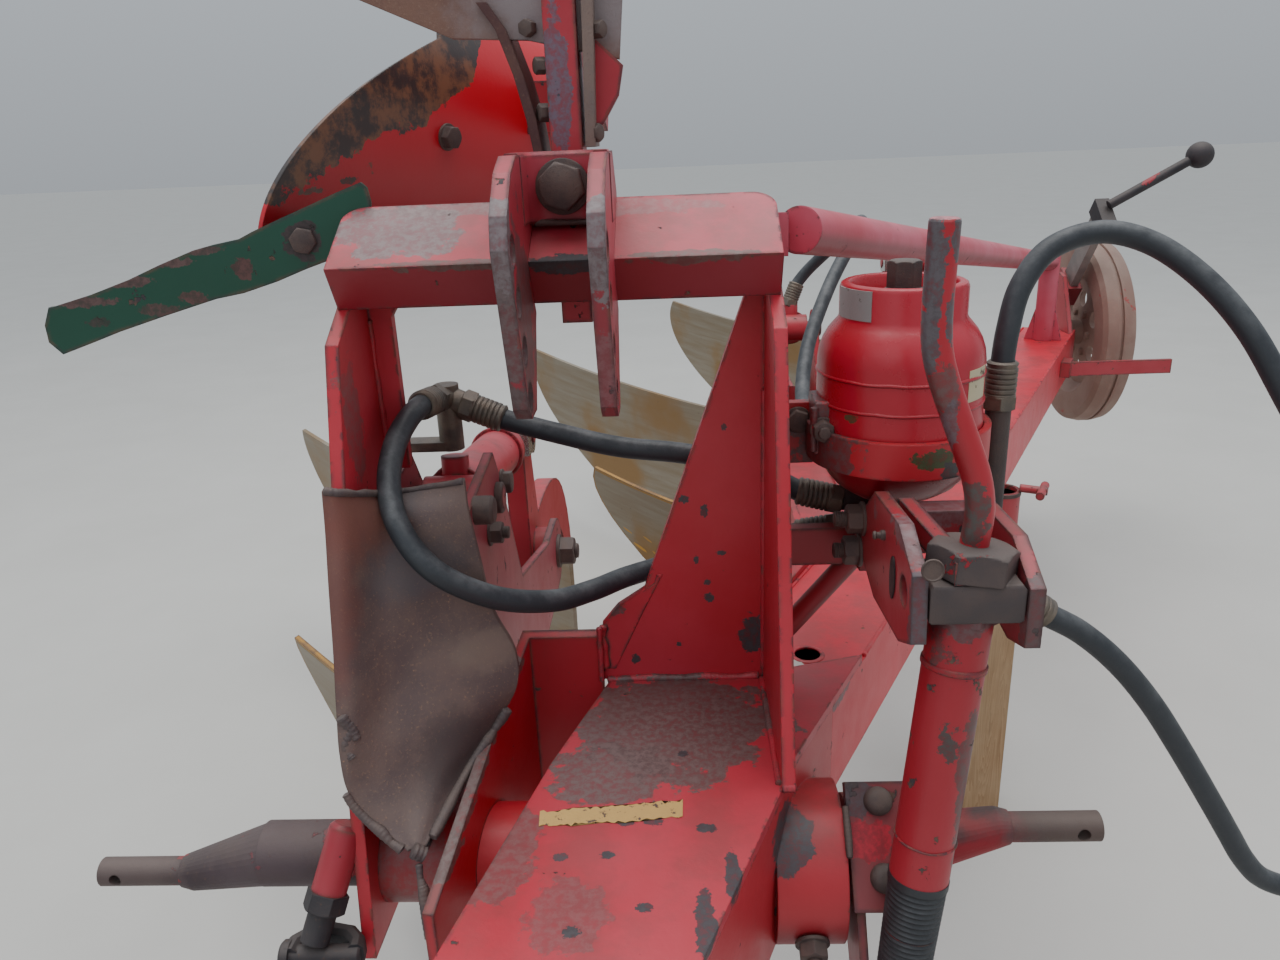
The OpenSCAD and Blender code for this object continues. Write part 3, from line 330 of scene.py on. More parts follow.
panel("sky_panel", (0.3, 1.0, 5.2), (0.2, 0.9, 0.0), 5.0, 250.0, (1.0, 0.98, 0.95))
panel("front_panel", (-1.6, -3.4, 2.9), (0.1, 0.3, 0.2), 3.0, 14.0, (0.93, 0.96, 1.0))


# Beam
# A box section of plate, welded along its corners, in the one red that the
# whole frame has. A drain hole goes through its top near the headstock, beside
# a small blank paper label.
def paint(name, fresh, faded, wear=0.5, chips=0.5, dirt=0.35, zones=(), rough=0.38, rubbed=None):
    """Paint over steel. wear is how much the edges are rubbed, chips how many spots have come off,
    dirt how brown the top is. Each zone is (centre, radii, colour, strength) in mm. rubbed names
    an attribute that is above zero where the paint is rubbed off to rust."""
    s = Shade(name)
    broad = s.noise(5.0, 5.0, 0.55)
    colour = s.mix(s.steps(broad, 0.3, 0.7), fresh, faded)
    dirty = s.math("MULTIPLY", s.steps(s.up(), 0.3, 0.95), s.steps(s.noise(14.0, 8.0, 0.65), 0.42, 0.62))
    colour = s.mix(s.math("MULTIPLY", dirty, dirt), colour, (0.10, 0.062, 0.05))
    streak = s.steps(s.noise(9.0, 7.0, 0.6, s.scaled(1.0, 1.0, 0.25)), 0.55, 0.8)
    colour = s.mix(s.math("MULTIPLY", streak, dirt * 0.7), colour, (0.16, 0.03, 0.028))
    # Painted shade: faces that look down are darkened towards a deep red, as if they lay in shadow.
    painted_shade_below = s.math("MULTIPLY", s.steps(s.up(), 0.05, -0.45), 0.7)
    colour = s.mix(painted_shade_below, colour, tuple(0.38 * c for c in fresh))
    grain = s.noise(46.0, 9.0, 0.62)
    edge = s.edges(0.007)
    level = s.math("MULTIPLY_ADD", edge, 0.21 * wear, grain)
    bare = s.steps(level, 0.722 - 0.05 * chips, 0.734 - 0.05 * chips)
    under = s.mix(s.steps(s.noise(70.0, 6.0), 0.42, 0.6), (0.045, 0.038, 0.042), (0.13, 0.072, 0.05))
    colour = s.mix(bare, colour, under)
    speckle = s.steps(s.noise(130.0, 7.0, 0.7), 0.36, 0.62)
    for centre, radii, tint, strength in zones:
        covered = s.math("MULTIPLY", s.zone(centre, radii),
                         s.math("MULTIPLY_ADD", speckle, 0.3, strength - 0.15))
        colour = s.mix(covered, colour, s.mix(speckle, tuple(0.7 * c for c in tint),
                                              tuple(1.25 * c for c in tint)))
    if rubbed:
        depth = s.node("ShaderNodeAttribute", attribute_name=rubbed).outputs["Fac"]
        depth = s.math("ADD", depth, s.math("MULTIPLY_ADD", s.noise(38.0, 8.0, 0.66), 0.06, -0.03))
        rusty = s.mix(s.steps(s.noise(26.0, 8.0, 0.7), 0.42, 0.58), (0.045, 0.036, 0.034), (0.19, 0.09, 0.05))
        colour = s.mix(s.steps(depth, 0.0, 0.002), colour, rusty)
    roughness = s.math("MULTIPLY_ADD", s.noise(24.0, 6.0), 0.22, rough - 0.06)
    roughness = s.math("MULTIPLY_ADD", bare, 0.3, roughness)
    height = s.math("MULTIPLY_ADD", bare, -1.0, s.math("MULTIPLY", s.noise(180.0, 4.0), 0.25))
    return s.finish(colour, roughness, 0.0, height, 0.0007, 0.0022)


def coat(material, slot, *names):
    """Gives the CAD's own nodes a material; slot is not used."""
    for node_name in names:
        mesh = nodes[node_name].data
        mesh.materials.clear()
        mesh.materials.append(material)


RIGHT, LEFT, UP = (1, 0, 0), (-1, 0, 0), (0, 0, 1)
REAR, FRONT = (0, 1, 0), (0, -1, 0)
beam_red = paint("beam_red", (0.52, 0.012, 0.028), (0.60, 0.030, 0.050), 0.6, 0.75, 0.35, zones=[
    ((262, 120, 92), (26, 60, 12), (0.06, 0.055, 0.06), 0.75),
    ((560, 900, 92), (120, 160, 14), (0.16, 0.075, 0.06), 0.5)])
coat(beam_red, "red_paint", "main_beam")
BEAM_TURN = math.radians(27.5)


def on_beam(across, along, z):
    """Place in mm from the distance across the beam, to its right, and along it."""
    return np.array([124 + along * math.sin(BEAM_TURN) + across * math.cos(BEAM_TURN),
                     along * math.cos(BEAM_TURN) - across * math.sin(BEAM_TURN), z])


def axes(along):
    """Two unit vectors square to along; the second leans upward as far as it can, or to the rear
    where along is upright."""
    along = unit(along)
    side = unit(np.cross(REAR if abs(along[2]) > 0.95 else UP, along))
    return side, np.cross(along, side)


def turned(profile, at, along, sides=32, across=None, turn=0.0):
    """Profile of (distance along, radius) in mm spun round an axis. Where across is given, the
    radius is cut to that hexagon: half of it over the cosine of the angle from the nearest flat."""
    profile = np.array(profile, float)
    angle = np.linspace(0, 2 * np.pi, sides, endpoint=False)
    r = np.repeat(profile[:, 1:2], sides, 1)
    if across:
        r = np.minimum(r, across / 2 / np.cos((angle + np.pi / 6) % (np.pi / 3) - np.pi / 6))
    side, over = axes(along)
    p = (np.array(at, float) + profile[:, None, :1] * unit(along)
         + (r * np.cos(angle + turn))[..., None] * side + (r * np.sin(angle + turn))[..., None] * over)
    return skin(p / 1000)


def bead(points, r=4.0, seed=0):
    """Weld bead along straight runs: a round cord whose radius swells a little once in each
    4 mm, and whose line and size wander, as hand work does."""
    p = np.array(points, float)
    far = np.concatenate([[0], np.cumsum(np.linalg.norm(np.diff(p, axis=0), axis=1))])
    s = np.arange(0, far[-1], 1.25)
    line = np.stack([np.interp(s, far, p[:, k]) for k in range(3)], 1)
    rng = np.random.default_rng(seed)
    knots = np.arange(0, far[-1] + 24, 12)
    slow = np.interp(s, knots, rng.normal(0, 1, len(knots)))
    line = line + slow[:, None] * np.array([0.3, 0.3, 0.3])
    radius = r * (1 + 0.055 * np.cos(2 * np.pi * s / 4.0 + 1.5 * slow) + 0.13 * slow)
    radius[0] = radius[-1] = 0.3 * r
    return skin(swept(line / 1000, np.clip(radius, 0.3 * r, 1.4 * r) / 1000, 10))


def fixings(name, *groups, material=None, slot="worn_steel", body="frame"):
    """All the bolts or beads of one group as one piece."""
    parts = []
    for group in groups:
        parts += group if isinstance(group, list) else [group]
    return piece(name, parts, material or bolt_rust, body)


hole_rim = turned([(-1.0, 19.5), (0.6, 19.5), (1.4, 17.5), (1.2, 14.6), (-1.0, 14.6)],
                  on_beam(10, 240, 90), UP, 40)
fixings("beam_seams", hole_rim,
        *[bead([on_beam(v, 262, 90.5), on_beam(v, 2236, 90.5)], 2.6, 3) for v in (-68, 68)],
        material=beam_red, slot="red_paint")


def paper(name, base, spots, amount):
    """Old paper or foil label: no print on it, yellowed, scuffed and spotted with dirt."""
    s = Shade(name)
    colour = s.mix(s.noise(60.0, 5.0), base, tuple(0.78 * c for c in base))
    dirt = s.steps(s.noise(90.0, 8.0, 0.7), 0.66 - 0.1 * amount, 0.7 - 0.1 * amount)
    colour = s.mix(dirt, colour, spots)
    return s.finish(colour, s.math("MULTIPLY_ADD", dirt, 0.3, 0.45), 0.0, s.noise(400.0, 3.0), 0.0002)


def label(name, corners, lift, material, torn=0.0, seed=0):
    """Thin sheet over four corners in mm, each point the bilinear mean of the corners; torn
    moves its long edges by noise, and its ends curl up a little."""
    a, b, c, d = [np.array(p, float) for p in corners]
    u = np.linspace(0, 1, 41)
    rng = np.random.default_rng(seed)
    ragged = rng.normal(0, torn, (2, 41))
    v = np.linspace(0, 1, 5)[:, None]
    w = v + ragged[0] * (1 - v) + ragged[1] * v
    top = (a + (b - a) * u[:, None] + (d - a) * w[..., None]
           + (a - b + c - d) * (u * w)[..., None])
    n = unit(np.cross(b - a, d - a))
    curl = 0.5 * np.exp(-((u - 1) / 0.03) ** 2) + 0.35 * np.exp(-(u / 0.03) ** 2)
    upper = top + n * (lift + curl)[None, :, None]
    lower = top - n * 0.2
    ring = np.concatenate([upper, lower[:, ::-1]], 1)
    return piece(name, [skin(ring / 1000)], material, "frame")


white_paper = paper("white_paper", (0.62, 0.60, 0.55), (0.20, 0.16, 0.14), 0.3)
label("beam_label", [(224, 178, 90), (238, 184, 90), (231, 199, 90), (217, 193, 90)], 0.4, white_paper)

# Headstock and nose plate
# The beam is welded into a five-sided box of plate, with a thick plate over
# it whose paint is worn to brown primer where tools and boots land on it.
BROWN = (0.125, 0.078, 0.074)
DARK_CHIP = (0.05, 0.045, 0.05)
nose_red = paint("nose_red", (0.43, 0.016, 0.032), (0.48, 0.045, 0.066), 0.8, 0.8, 0.3, zones=[
    ((96, 66, 100), (98, 92, 30), BROWN, 0.95), ((36, -14, 100), (60, 46, 30), BROWN, 0.9),
    ((-52, -110, 100), (34, 74, 30), (0.15, 0.066, 0.064), 0.75),
    ((10, -190, 100), (30, 40, 30), (0.17, 0.07, 0.07), 0.6),
    ((138, -151, 99), (7, 30, 8), DARK_CHIP, 0.95), ((115, -197, 99), (8, 36, 8), DARK_CHIP, 0.95)]
    + [((x, y, 101), (w, h, 5), DARK_CHIP, strength) for x, y, w, h, strength in (
        (119, -92, 9, 6, 1.0), (74, -82, 9, 6, 0.9), (50, -84, 9, 5, 0.9), (37, -123, 6, 5, 1.0),
        (-2, -125, 7, 5, 0.8), (15, -204, 7, 6, 1.0), (69, -180, 7, 5, 1.0), (100, 12, 5, 5, 1.0))])
coat(nose_red, "red_paint", "nose_plate")
head_red = paint("head_red", (0.42, 0.014, 0.024), (0.47, 0.028, 0.04), 0.6, 0.6, 0.35, zones=[
    ((196, -50, 50), (22, 40, 34), (0.06, 0.05, 0.055), 0.9), ((-160, -40, 20), (40, 30, 60), BROWN, 0.5)])
coat(head_red, "red_paint", "headstock")
fixings("headstock_welds",
        bead([(20, 146.5, 101), (120, 146.5, 101), (184, 146.5, 101)], 4.2, 5),
        bead([(186.4, 140, 101), (186.4, -38, 101)], 3.6, 6),
        bead([(187, -40, 101), (201, -40, 101)], 5.5, 7),
        bead([(15.5, 138, 104), (15.5, 138, 170)], 3.4, 8),
        bead([(188, 146.5, 110), (188, 146.5, 420)], 3.0, 9),
        bead([on_beam(-68, 152, 91), on_beam(68, 152, 91)], 3.2, 10),
        material=nose_red, slot="red_paint")
strip_paper = paper("strip_paper", (0.62, 0.38, 0.12), (0.10, 0.06, 0.05), 0.9)
label("nose_strip", [(-24, -88, 100), (99, -78, 100), (99.5, -57, 100), (-25.5, -69, 100)], 0.5,
      strip_paper, 0.07, 11)

# Tower and crossbeam
# Two plates stand on the headstock and carry a folded crossbeam that leans
# forward. Its top is bleached and carries a painted sky sheen; a tool has
# rubbed through its lip.
tower_red = paint("tower_red", (0.46, 0.013, 0.026), (0.52, 0.035, 0.055), 1.0, 0.6, 0.25, zones=[
    ((-192, 66, 420), (14, 24, 60), (0.10, 0.07, 0.07), 0.5),
    ((-192, 20, 250), (14, 26, 90), (0.10, 0.07, 0.07), 0.5),
    ((30, 150, 184), (14, 8, 7), (0.10, 0.06, 0.06), 0.8)]
    + [((x, 146, z), (w, 5, h), DARK_CHIP, 0.95) for x, z, w, h in (
        (149, 381, 3, 4), (108, 306, 6, 5), (128, 293, 4, 8), (119, 239, 3, 5), (145, 246, 6, 3),
        (130, 213, 4, 4), (132, 195, 6, 6), (52, 124, 5, 7), (99, 141, 3, 3), (176, 150, 14, 26))])
coat(tower_red, "red_paint", "tower_left", "tower_right")
gusset_red = paint("gusset_red", (0.42, 0.008, 0.018), (0.46, 0.02, 0.035), 1.6, 0.7, 0.6, zones=[
    ((x, y, 50 + 0.389 * (y + 133)), (16, 34, 11), (0.13, 0.085, 0.078), 0.9)
    for x, y in ((-107, -90), (-104, -50), (-99, -10), (-94, 30), (-87, 66), (-78, 104))])
coat(gusset_red, "red_paint", "gusset")
cross_red = paint("cross_red", (0.42, 0.015, 0.03), (0.50, 0.06, 0.09), 0.9, 0.9, 0.35, zones=[
    # The first three zones are pale patches on the top: faded paint and a painted sky sheen.
    ((-142, 120, 582), (60, 40, 40), (0.165, 0.115, 0.115), 0.85),
    ((60, 140, 600), (90, 12, 20), (0.20, 0.12, 0.12), 0.4),
    ((-70, 150, 600), (110, 14, 20), (0.18, 0.12, 0.115), 0.6),
    ((13, 76, 553), (32, 9, 14), (0.035, 0.035, 0.04), 1.0),
    ((120, 78, 556), (60, 5, 8), (0.10, 0.06, 0.05), 0.8),
    ((-80, 78, 556), (70, 4, 7), (0.10, 0.06, 0.05), 0.8)])
coat(cross_red, "red_paint", "crossbeam")


def slab(outline, at, side, over, thick, soft=0.0):
    """Flat outline of (across, up) in mm drawn from at with the vectors side and over, and thick
    mm deep along their cross product. soft rounds off both rims by that much."""
    q = np.array(outline, float)
    side, over = unit(side), unit(over)
    out = np.cross(side, over)
    mid = q.mean(0)
    rows = [(0.0, 0.0), (thick, 0.0)]
    if soft:
        rows = [(0.0, soft), (soft, 0.0), (thick - soft, 0.0), (thick, soft)]
    rings = []
    for depth, inset in rows:
        away = q - mid
        k = 1 - inset / np.linalg.norm(away, axis=1)[:, None]
        flat = mid + away * k
        rings.append(np.array(at, float) + flat[:, :1] * side + flat[:, 1:] * over + depth * out)
    return skin(np.array(rings) / 1000)


fixings("tower_welds",
        bead([(-187, 147.5, 360), (-187, 147.5, 500)], 3.0, 16),
        slab([(78, 224), (75, 214), (35, 187), (18, 166), (12, 113), (30, 113), (62, 180), (84, 224)],
             (0, 158.5, 0), RIGHT, UP, 11.8, 1.0),
        bead([(19, 146.5, 166), (19, 146, 114)], 4.0, 13),
        material=tower_red, slot="red_paint")

# Top link bracket
# A thick strap bent to a U: its two cheeks are bored in a leaning row for the
# top link pin, and a bolt through the web clamps it to the crossbeam.
link_worn = paint("link_worn", (0.36, 0.022, 0.036), (0.47, 0.06, 0.09), 1.6, 1.2, 0.3, zones=[
    ((-28, -14, 590), (22, 14, 60), (0.15, 0.115, 0.12), 0.95),
    ((47, -14, 590), (22, 14, 60), (0.15, 0.115, 0.12), 0.95),
    ((-28, 40, 520), (12, 60, 90), (0.105, 0.07, 0.07), 0.8),
    ((-30, 20, 440), (14, 30, 26), (0.09, 0.06, 0.06), 0.8),
    ((47, 8, 470), (14, 24, 40), (0.16, 0.07, 0.075), 0.6)])
coat(link_worn, "red_paint", "top_link_bracket")


def strap(path, z0, z1, half, soft=2.5):
    """Flat bar on edge along a level path: a rounded oblong carried along it."""
    p = np.array(path, float)
    t = np.gradient(p, axis=0)
    t /= np.linalg.norm(t, axis=1)[:, None]
    n = np.stack([-t[:, 1], t[:, 0]], 1)
    w, z = np.array([(-half + soft, z0), (half - soft, z0), (half, z0 + soft), (half, z1 - soft),
                     (half - soft, z1), (-half + soft, z1), (-half, z1 - soft), (-half, z0 + soft)]).T
    flat = p[:, None] + n[:, None] * w[:, None]
    rings = np.concatenate([flat, np.broadcast_to(z[:, None], (len(p), 8, 1))], 2)
    return skin(rings / 1000)


def hex_head(at, along, across, height, turn=0.0):
    """Hexagon prism whose top corners are turned off by a 30 degree cone."""
    k = 0.059 * across
    rows = [(-0.5, across), (height - k, across), (height - 0.66 * k, 0.475 * across + 1.15 * k),
            (height - 0.33 * k, 0.475 * across + 0.58 * k), (height, 0.475 * across)]
    return turned(rows, at, along, 48, across, turn)


WASHER = 0.12  # thickness of a washer as a share of the width across its bolt's flats


def washer(at, along, across):
    """Round washer under a bolt's head or a nut."""
    h, r = WASHER * across, 0.66 * across
    return turned([(-0.5, r), (h - 0.6, r), (h, 0.62 * across)], at, along)


def bolt(at, along, across, turn=0.0):
    """Round washer with a hexagon head on it."""
    top = np.array(at) + WASHER * across * unit(along)
    return [washer(at, along, across), hex_head(top, along, across, 0.42 * across, turn)]


def rust(name, colours, remains=None, share=0.0, scale=14.0, rough=0.62, metallic=0.25, zones=()):
    """Weathered steel: two rusts mixed by noise, and remains of paint where a broad noise is
    above a level that falls as share grows."""
    s = Shade(name)
    colour = s.mix(s.steps(s.noise(scale, 8.0, 0.65), 0.36, 0.64), colours[0], colours[1])
    colour = s.mix(s.steps(s.noise(scale * 16, 6.0, 0.7), 0.56, 0.74), colour, colours[2])
    left = 0.0
    if remains:
        left = s.steps(s.noise(scale * 0.8, 9.0, 0.66, distortion=0.4), 0.70 - 0.35 * share,
                       0.715 - 0.35 * share)
        colour = s.mix(left, colour, remains)
    for centre, radii, tint, strength in zones:
        colour = s.mix(s.math("MULTIPLY", s.zone(centre, radii, 0.7, 0.4), strength), colour, tint)
    dust = s.math("MULTIPLY", s.steps(s.up(), 0.2, 1.0), 0.28)
    colour = s.mix(dust, colour, (0.22, 0.185, 0.16))
    roughness = s.math("MULTIPLY_ADD", s.noise(scale * 4, 6.0), 0.3, rough - 0.15)
    height = s.math("MULTIPLY_ADD", left, 0.8, s.math("MULTIPLY", s.noise(scale * 16, 6.0, 0.7), 0.8))
    return s.finish(colour, roughness, metallic, height, 0.0006, 0.0016)


bolt_rust = rust("bolt_rust", [(0.075, 0.053, 0.050), (0.13, 0.088, 0.074), (0.045, 0.036, 0.036)],
                 scale=40.0)
BEND_R, LEFT_X, RIGHT_X, WEB_Y = 24, -27, 47, 96
bend = np.linspace(0, np.pi / 2, 9)
left_bend = np.stack([LEFT_X + BEND_R * (1 - np.cos(bend)), WEB_Y + BEND_R * np.sin(bend)], 1)
right_bend = left_bend[::-1] * (-1, 1) + (LEFT_X + RIGHT_X, 0)
web_path = np.concatenate([[(LEFT_X, 70)], left_bend, right_bend, [(RIGHT_X, 70)]])
piece("top_link_web", [strap(web_path, 583, 643.5, 7.8, 3.0)], link_worn, "frame", 30)
fixings("top_link_bolt", bolt((10, 112, 614), (0, -1, 0.05), 36, 0.2),
        bead([(-18, 111, 584), (38, 111, 584)], 3.0, 17))

# Hitch shaft
# The lower links carry the plough on a round shaft that turns in the
# headstock. Its cranked ends are forged and rusted, with remains of red.
shaft_rust = rust("shaft_rust", [(0.055, 0.035, 0.042), (0.085, 0.055, 0.052), (0.13, 0.075, 0.05)],
                  (0.36, 0.014, 0.03), 0.30, zones=[
                      ((-455, 0, -26), (48, 40, 40), (0.12, 0.085, 0.08), 0.9),
                      ((-290, 0, -10), (70, 60, 60), (0.105, 0.072, 0.08), 0.7),
                      ((340, 0, 10), (72, 60, 60), (0.34, 0.012, 0.022), 0.85),
                      ((385, 0, 14), (20, 14, 60), (0.04, 0.03, 0.034), 0.9),
                      ((325, 0, 30), (44, 60, 8), (0.04, 0.03, 0.034), 0.8),
                      ((470, 0, 26), (62, 40, 40), (0.12, 0.082, 0.07), 0.9)])
coat(shaft_rust, "worn_steel", "hitch_shaft")
clamp_dark = paint("clamp_dark", (0.20, 0.018, 0.026), (0.24, 0.045, 0.05), 1.6, 1.6, 0.5, zones=[
    ((262, -38, 40), (26, 18, 20), (0.40, 0.018, 0.034), 0.85),
    ((256, -14, 68), (26, 18, 16), (0.07, 0.055, 0.06), 0.8)])
coat(clamp_dark, "dark_paint", "shaft_lever")


def screw(at, along, d, length):
    """Stud end with a thread: its radius falls by a triangle wave with the pitch of the thread."""
    pitch = 0.14 * d
    s = np.arange(-0.5, length, pitch / 4)
    r = d / 2 - 0.075 * d * np.abs((s / pitch) % 1 * 2 - 1)
    r[-1] = 0.36 * d
    return turned(np.stack([s, r], 1), at, along, 20)


def nut(at, along, across, out=10.0, turn=0.0):
    """Washer, nut and the stud's end, out mm past the nut."""
    low = np.array(at) + WASHER * across * unit(along)
    top = np.array(at) + 0.67 * across * unit(along)
    return [washer(at, along, across), hex_head(low, along, across, 0.55 * across, turn),
            screw(top, along, 0.64 * across, out)]


clamp_out = unit((0, -0.77, 0.64))
dome = [(-1, 13), (3, 13), (6.5, 11.5), (9, 8), (9.6, 4)]
clamp_at = [np.array((279, -16, 65)), np.array((279, -58, 14))]
fixings("clamp_bolts", *[turned(dome, at + 0.6 * clamp_out, clamp_out, 28) for at in clamp_at],
        nut((214, -70, -48), (0, -0.93, -0.37), 24, 12), bead([(247, -60, 38), (247, -28, 70)], 3.0, 20))
fixings("spindle_eye_pin", turned([(-31, 9.4), (31, 9.4)], (279, -112, -130), RIGHT),
        turned([(27.5, 15), (29, 16), (36, 16), (38, 14)], (279, -112, -130), RIGHT, 28),
        turned([(27.5, 15), (29, 16), (34, 16), (36, 14)], (279, -112, -130), LEFT, 28))

# Check link
# A forged fork hangs under the left shaft end on a stud with a lock nut. The
# red tube round the stud is worn through to black steel.
fork_black = rust("fork_black", [(0.022, 0.021, 0.026), (0.045, 0.038, 0.042), (0.09, 0.05, 0.035)],
                  (0.30, 0.02, 0.035), 0.12)
stay_red = paint("stay_red", (0.34, 0.02, 0.035), (0.38, 0.06, 0.07), 1.4, 1.7, 0.5)
link_top, link_foot = np.array((-207, -46, 72.0)), np.array((-229, -84, 2.0))
link_way = unit(link_foot - link_top)
piece("check_link_tube", [turned([(0, 12), (4, 16), (62, 16), (64, 14)], link_top, link_way, 28)],
      stay_red, "frame")
fork = [strap([(-258, -100), (-257, -86), (-246, -76), (-228, -72), (-210, -76), (-200, -86), (-199, -96)],
              -44, -20, 7.0, 4.0)]
piece("check_link_fork", fork + [hex_head(link_top + 62 * link_way, link_way, 34, 17),
                                 turned([(0, 13), (30, 13)], link_top + 76 * link_way, link_way, 24),
                                 turned([(0, 9), (66, 9), (68, 7)], (-262, -95, -32), RIGHT, 24),
                                 turned([(0, 13), (7, 13), (9, 11)], (-258, -95, -32), LEFT, 24)],
      fork_black, "frame")

# First trip bracket
# A box of thick plate takes the front unit's cylinder and the push of its
# leg. A hammered panel closes its front: it never kept its paint and is
# brown rust all over, with heavy weld along its lower sides.
panel_rust = rust("panel_rust", [(0.120, 0.080, 0.077), (0.165, 0.110, 0.096), (0.34, 0.20, 0.125)],
                  (0.20, 0.03, 0.032), 0.05, scale=24.0, zones=[
                      ((-176, 40, 356), (30, 80, 46), (0.25, 0.085, 0.062), 0.7),
                      ((-196, -10, 290), (14, 60, 90), (0.22, 0.075, 0.058), 0.6),
                      ((-150, 60, 350), (16, 30, 20), (0.085, 0.080, 0.092), 0.7),
                      ((-140, 40, 288), (40, 60, 26), (0.10, 0.092, 0.105), 0.6),
                      ((-86, 50, 200), (34, 50, 20), (0.24, 0.17, 0.135), 0.6),
                      ((-110, 0, 110), (34, 60, 40), (0.075, 0.055, 0.055), 0.75)])
box_red = paint("box_red", (0.30, 0.03, 0.045), (0.34, 0.07, 0.085), 1.6, 1.6, 0.6)
coat(box_red, "dark_paint", "bracket_1")
PANEL = np.array([
    [(-201, 1, 378), (-186, 10, 372), (-164, 66, 352), (-128, 66, 356), (-90, 52, 366)],
    [(-201, -6, 342), (-186, 2, 340), (-164, 46, 338), (-128, 47, 338), (-88, 47, 338)],
    [(-201, -18, 296), (-186, -10, 296), (-164, 28, 296), (-126, 40, 294), (-83, 49, 294)],
    [(-201, -31, 240), (-187, -25, 240), (-164, 8, 238), (-126, 33, 238), (-75, 50, 236)],
    [(-201, -45, 190), (-187, -40, 190), (-162, -8, 190), (-122, 18, 190), (-58, 48, 194)],
    [(-200, -56, 152), (-188, -52, 152), (-160, -27, 152), (-118, 2, 154), (-58, 42, 158)],
    [(-194, -64, 118), (-185, -60, 118), (-156, -40, 118), (-120, -16, 118), (-80, 34, 122)],
    [(-172, -70, 90), (-166, -67, 90), (-150, -58, 92), (-126, -36, 96), (-103, 2, 98)],
    [(-144, -79, 68), (-142, -79, 68), (-138, -78, 68), (-134, -77, 68), (-129, -74, 68)]], float)


def through(p, n):
    """Catmull-Rom curve through the rows of p, at n places even by row number."""
    t = np.linspace(0, len(p) - 1 - 1e-9, n)
    i = t.astype(int)
    t = (t - i).reshape(-1, *[1] * (p.ndim - 1))
    q = np.concatenate([2 * p[:1] - p[1:2], p, 2 * p[-1:] - p[-2:-1]])
    return cubic(q[i], q[i + 1], q[i + 2], q[i + 3], t)


def hammered(rows, n, m, thick, dent):
    """Sheet through a grid of places, smooth both ways; two crossed sine waves of height dent
    press shallow dents into it, and its back lies thick mm behind it."""
    face = through(through(rows, n).swapaxes(0, 1), m).swapaxes(0, 1)
    v, u = np.meshgrid(np.linspace(0, 1, n), np.linspace(0, 1, m), indexing="ij")
    face[..., 1] += dent * np.sin(9 * u + 5 * v) * np.sin(13 * v + 3 * u) * np.sin(np.pi * u)
    back = face + np.array([0, thick, 0.3 * thick])
    return face, skin(np.concatenate([face, back[:, ::-1]], 1) / 1000, folded=True)


panel_face, panel_skin = hammered(PANEL, 73, 41, 5.0, 1.6)
piece("box_panel", [panel_skin], panel_rust, "frame", 50)
seam_rust = rust("seam_rust", [(0.095, 0.072, 0.074), (0.14, 0.100, 0.090), (0.22, 0.15, 0.12)], scale=40.0)
fixings("box_welds", bead(panel_face[50::3, -1] + (1, -1, -1), 5.0, 21),
        bead(panel_face[53::3, 0] + (-1, -1, -2), 4.4, 22),
        bead([(-198, -45, 186), (-191, -44, 172), (-196, -50, 158), (-190, -52, 146)], 5.5, 23),
        bead([(-193, -42, 178), (-186, -46, 160)], 5.0, 24),
        bead([(-140, -80, 70), (-128, -78, 62)], 7.0, 25),
        bead([(-133, -84, 60), (-128, -100, 30), (-124, -112, 2)], 4.5, 26),
        bead(panel_face[0, ::4] + (0, 1, 0), 3.4, 27),
        material=seam_rust, slot="dark_paint")
fixings("box_fixings", turned([(-1, 14), (16, 14), (19, 11.5), (19.6, 5)], (-92, 92, 322), RIGHT, 28),
        nut((-92, 146, 276), RIGHT, 21, 7), bolt((-92, 232, 300), RIGHT, 22, 0.4))

# Trip brackets and cylinders
# Each unit hangs between two side plates under the beam. Its ram holds the
# leg down and lets it rise over a stone; pins and nuts are plain steel.
bracket_red = paint("bracket_red", (0.40, 0.014, 0.026), (0.46, 0.04, 0.055), 0.9, 0.8, 0.4)
coat(bracket_red, "red_paint", "bracket_2", "bracket_3")
ram_red = paint("ram_red", (0.42, 0.02, 0.034), (0.50, 0.07, 0.09), 1.0, 1.2, 0.5)
coat(ram_red, "red_paint", "barrel_1", "barrel_2", "barrel_3")


def bright(name, colour):
    """Ground steel: fine marks drawn out along the rod, a little oil brown in the hollows."""
    s = Shade(name)
    marks = s.noise(9.0, 6.0, 0.6, s.scaled(60.0, 4.0, 60.0))
    tint = s.mix(s.steps(s.noise(22.0, 6.0), 0.5, 0.75), colour, tuple(0.5 * c for c in colour))
    return s.finish(tint, s.math("MULTIPLY_ADD", marks, 0.22, 0.16), 0.95, marks, 0.0001)


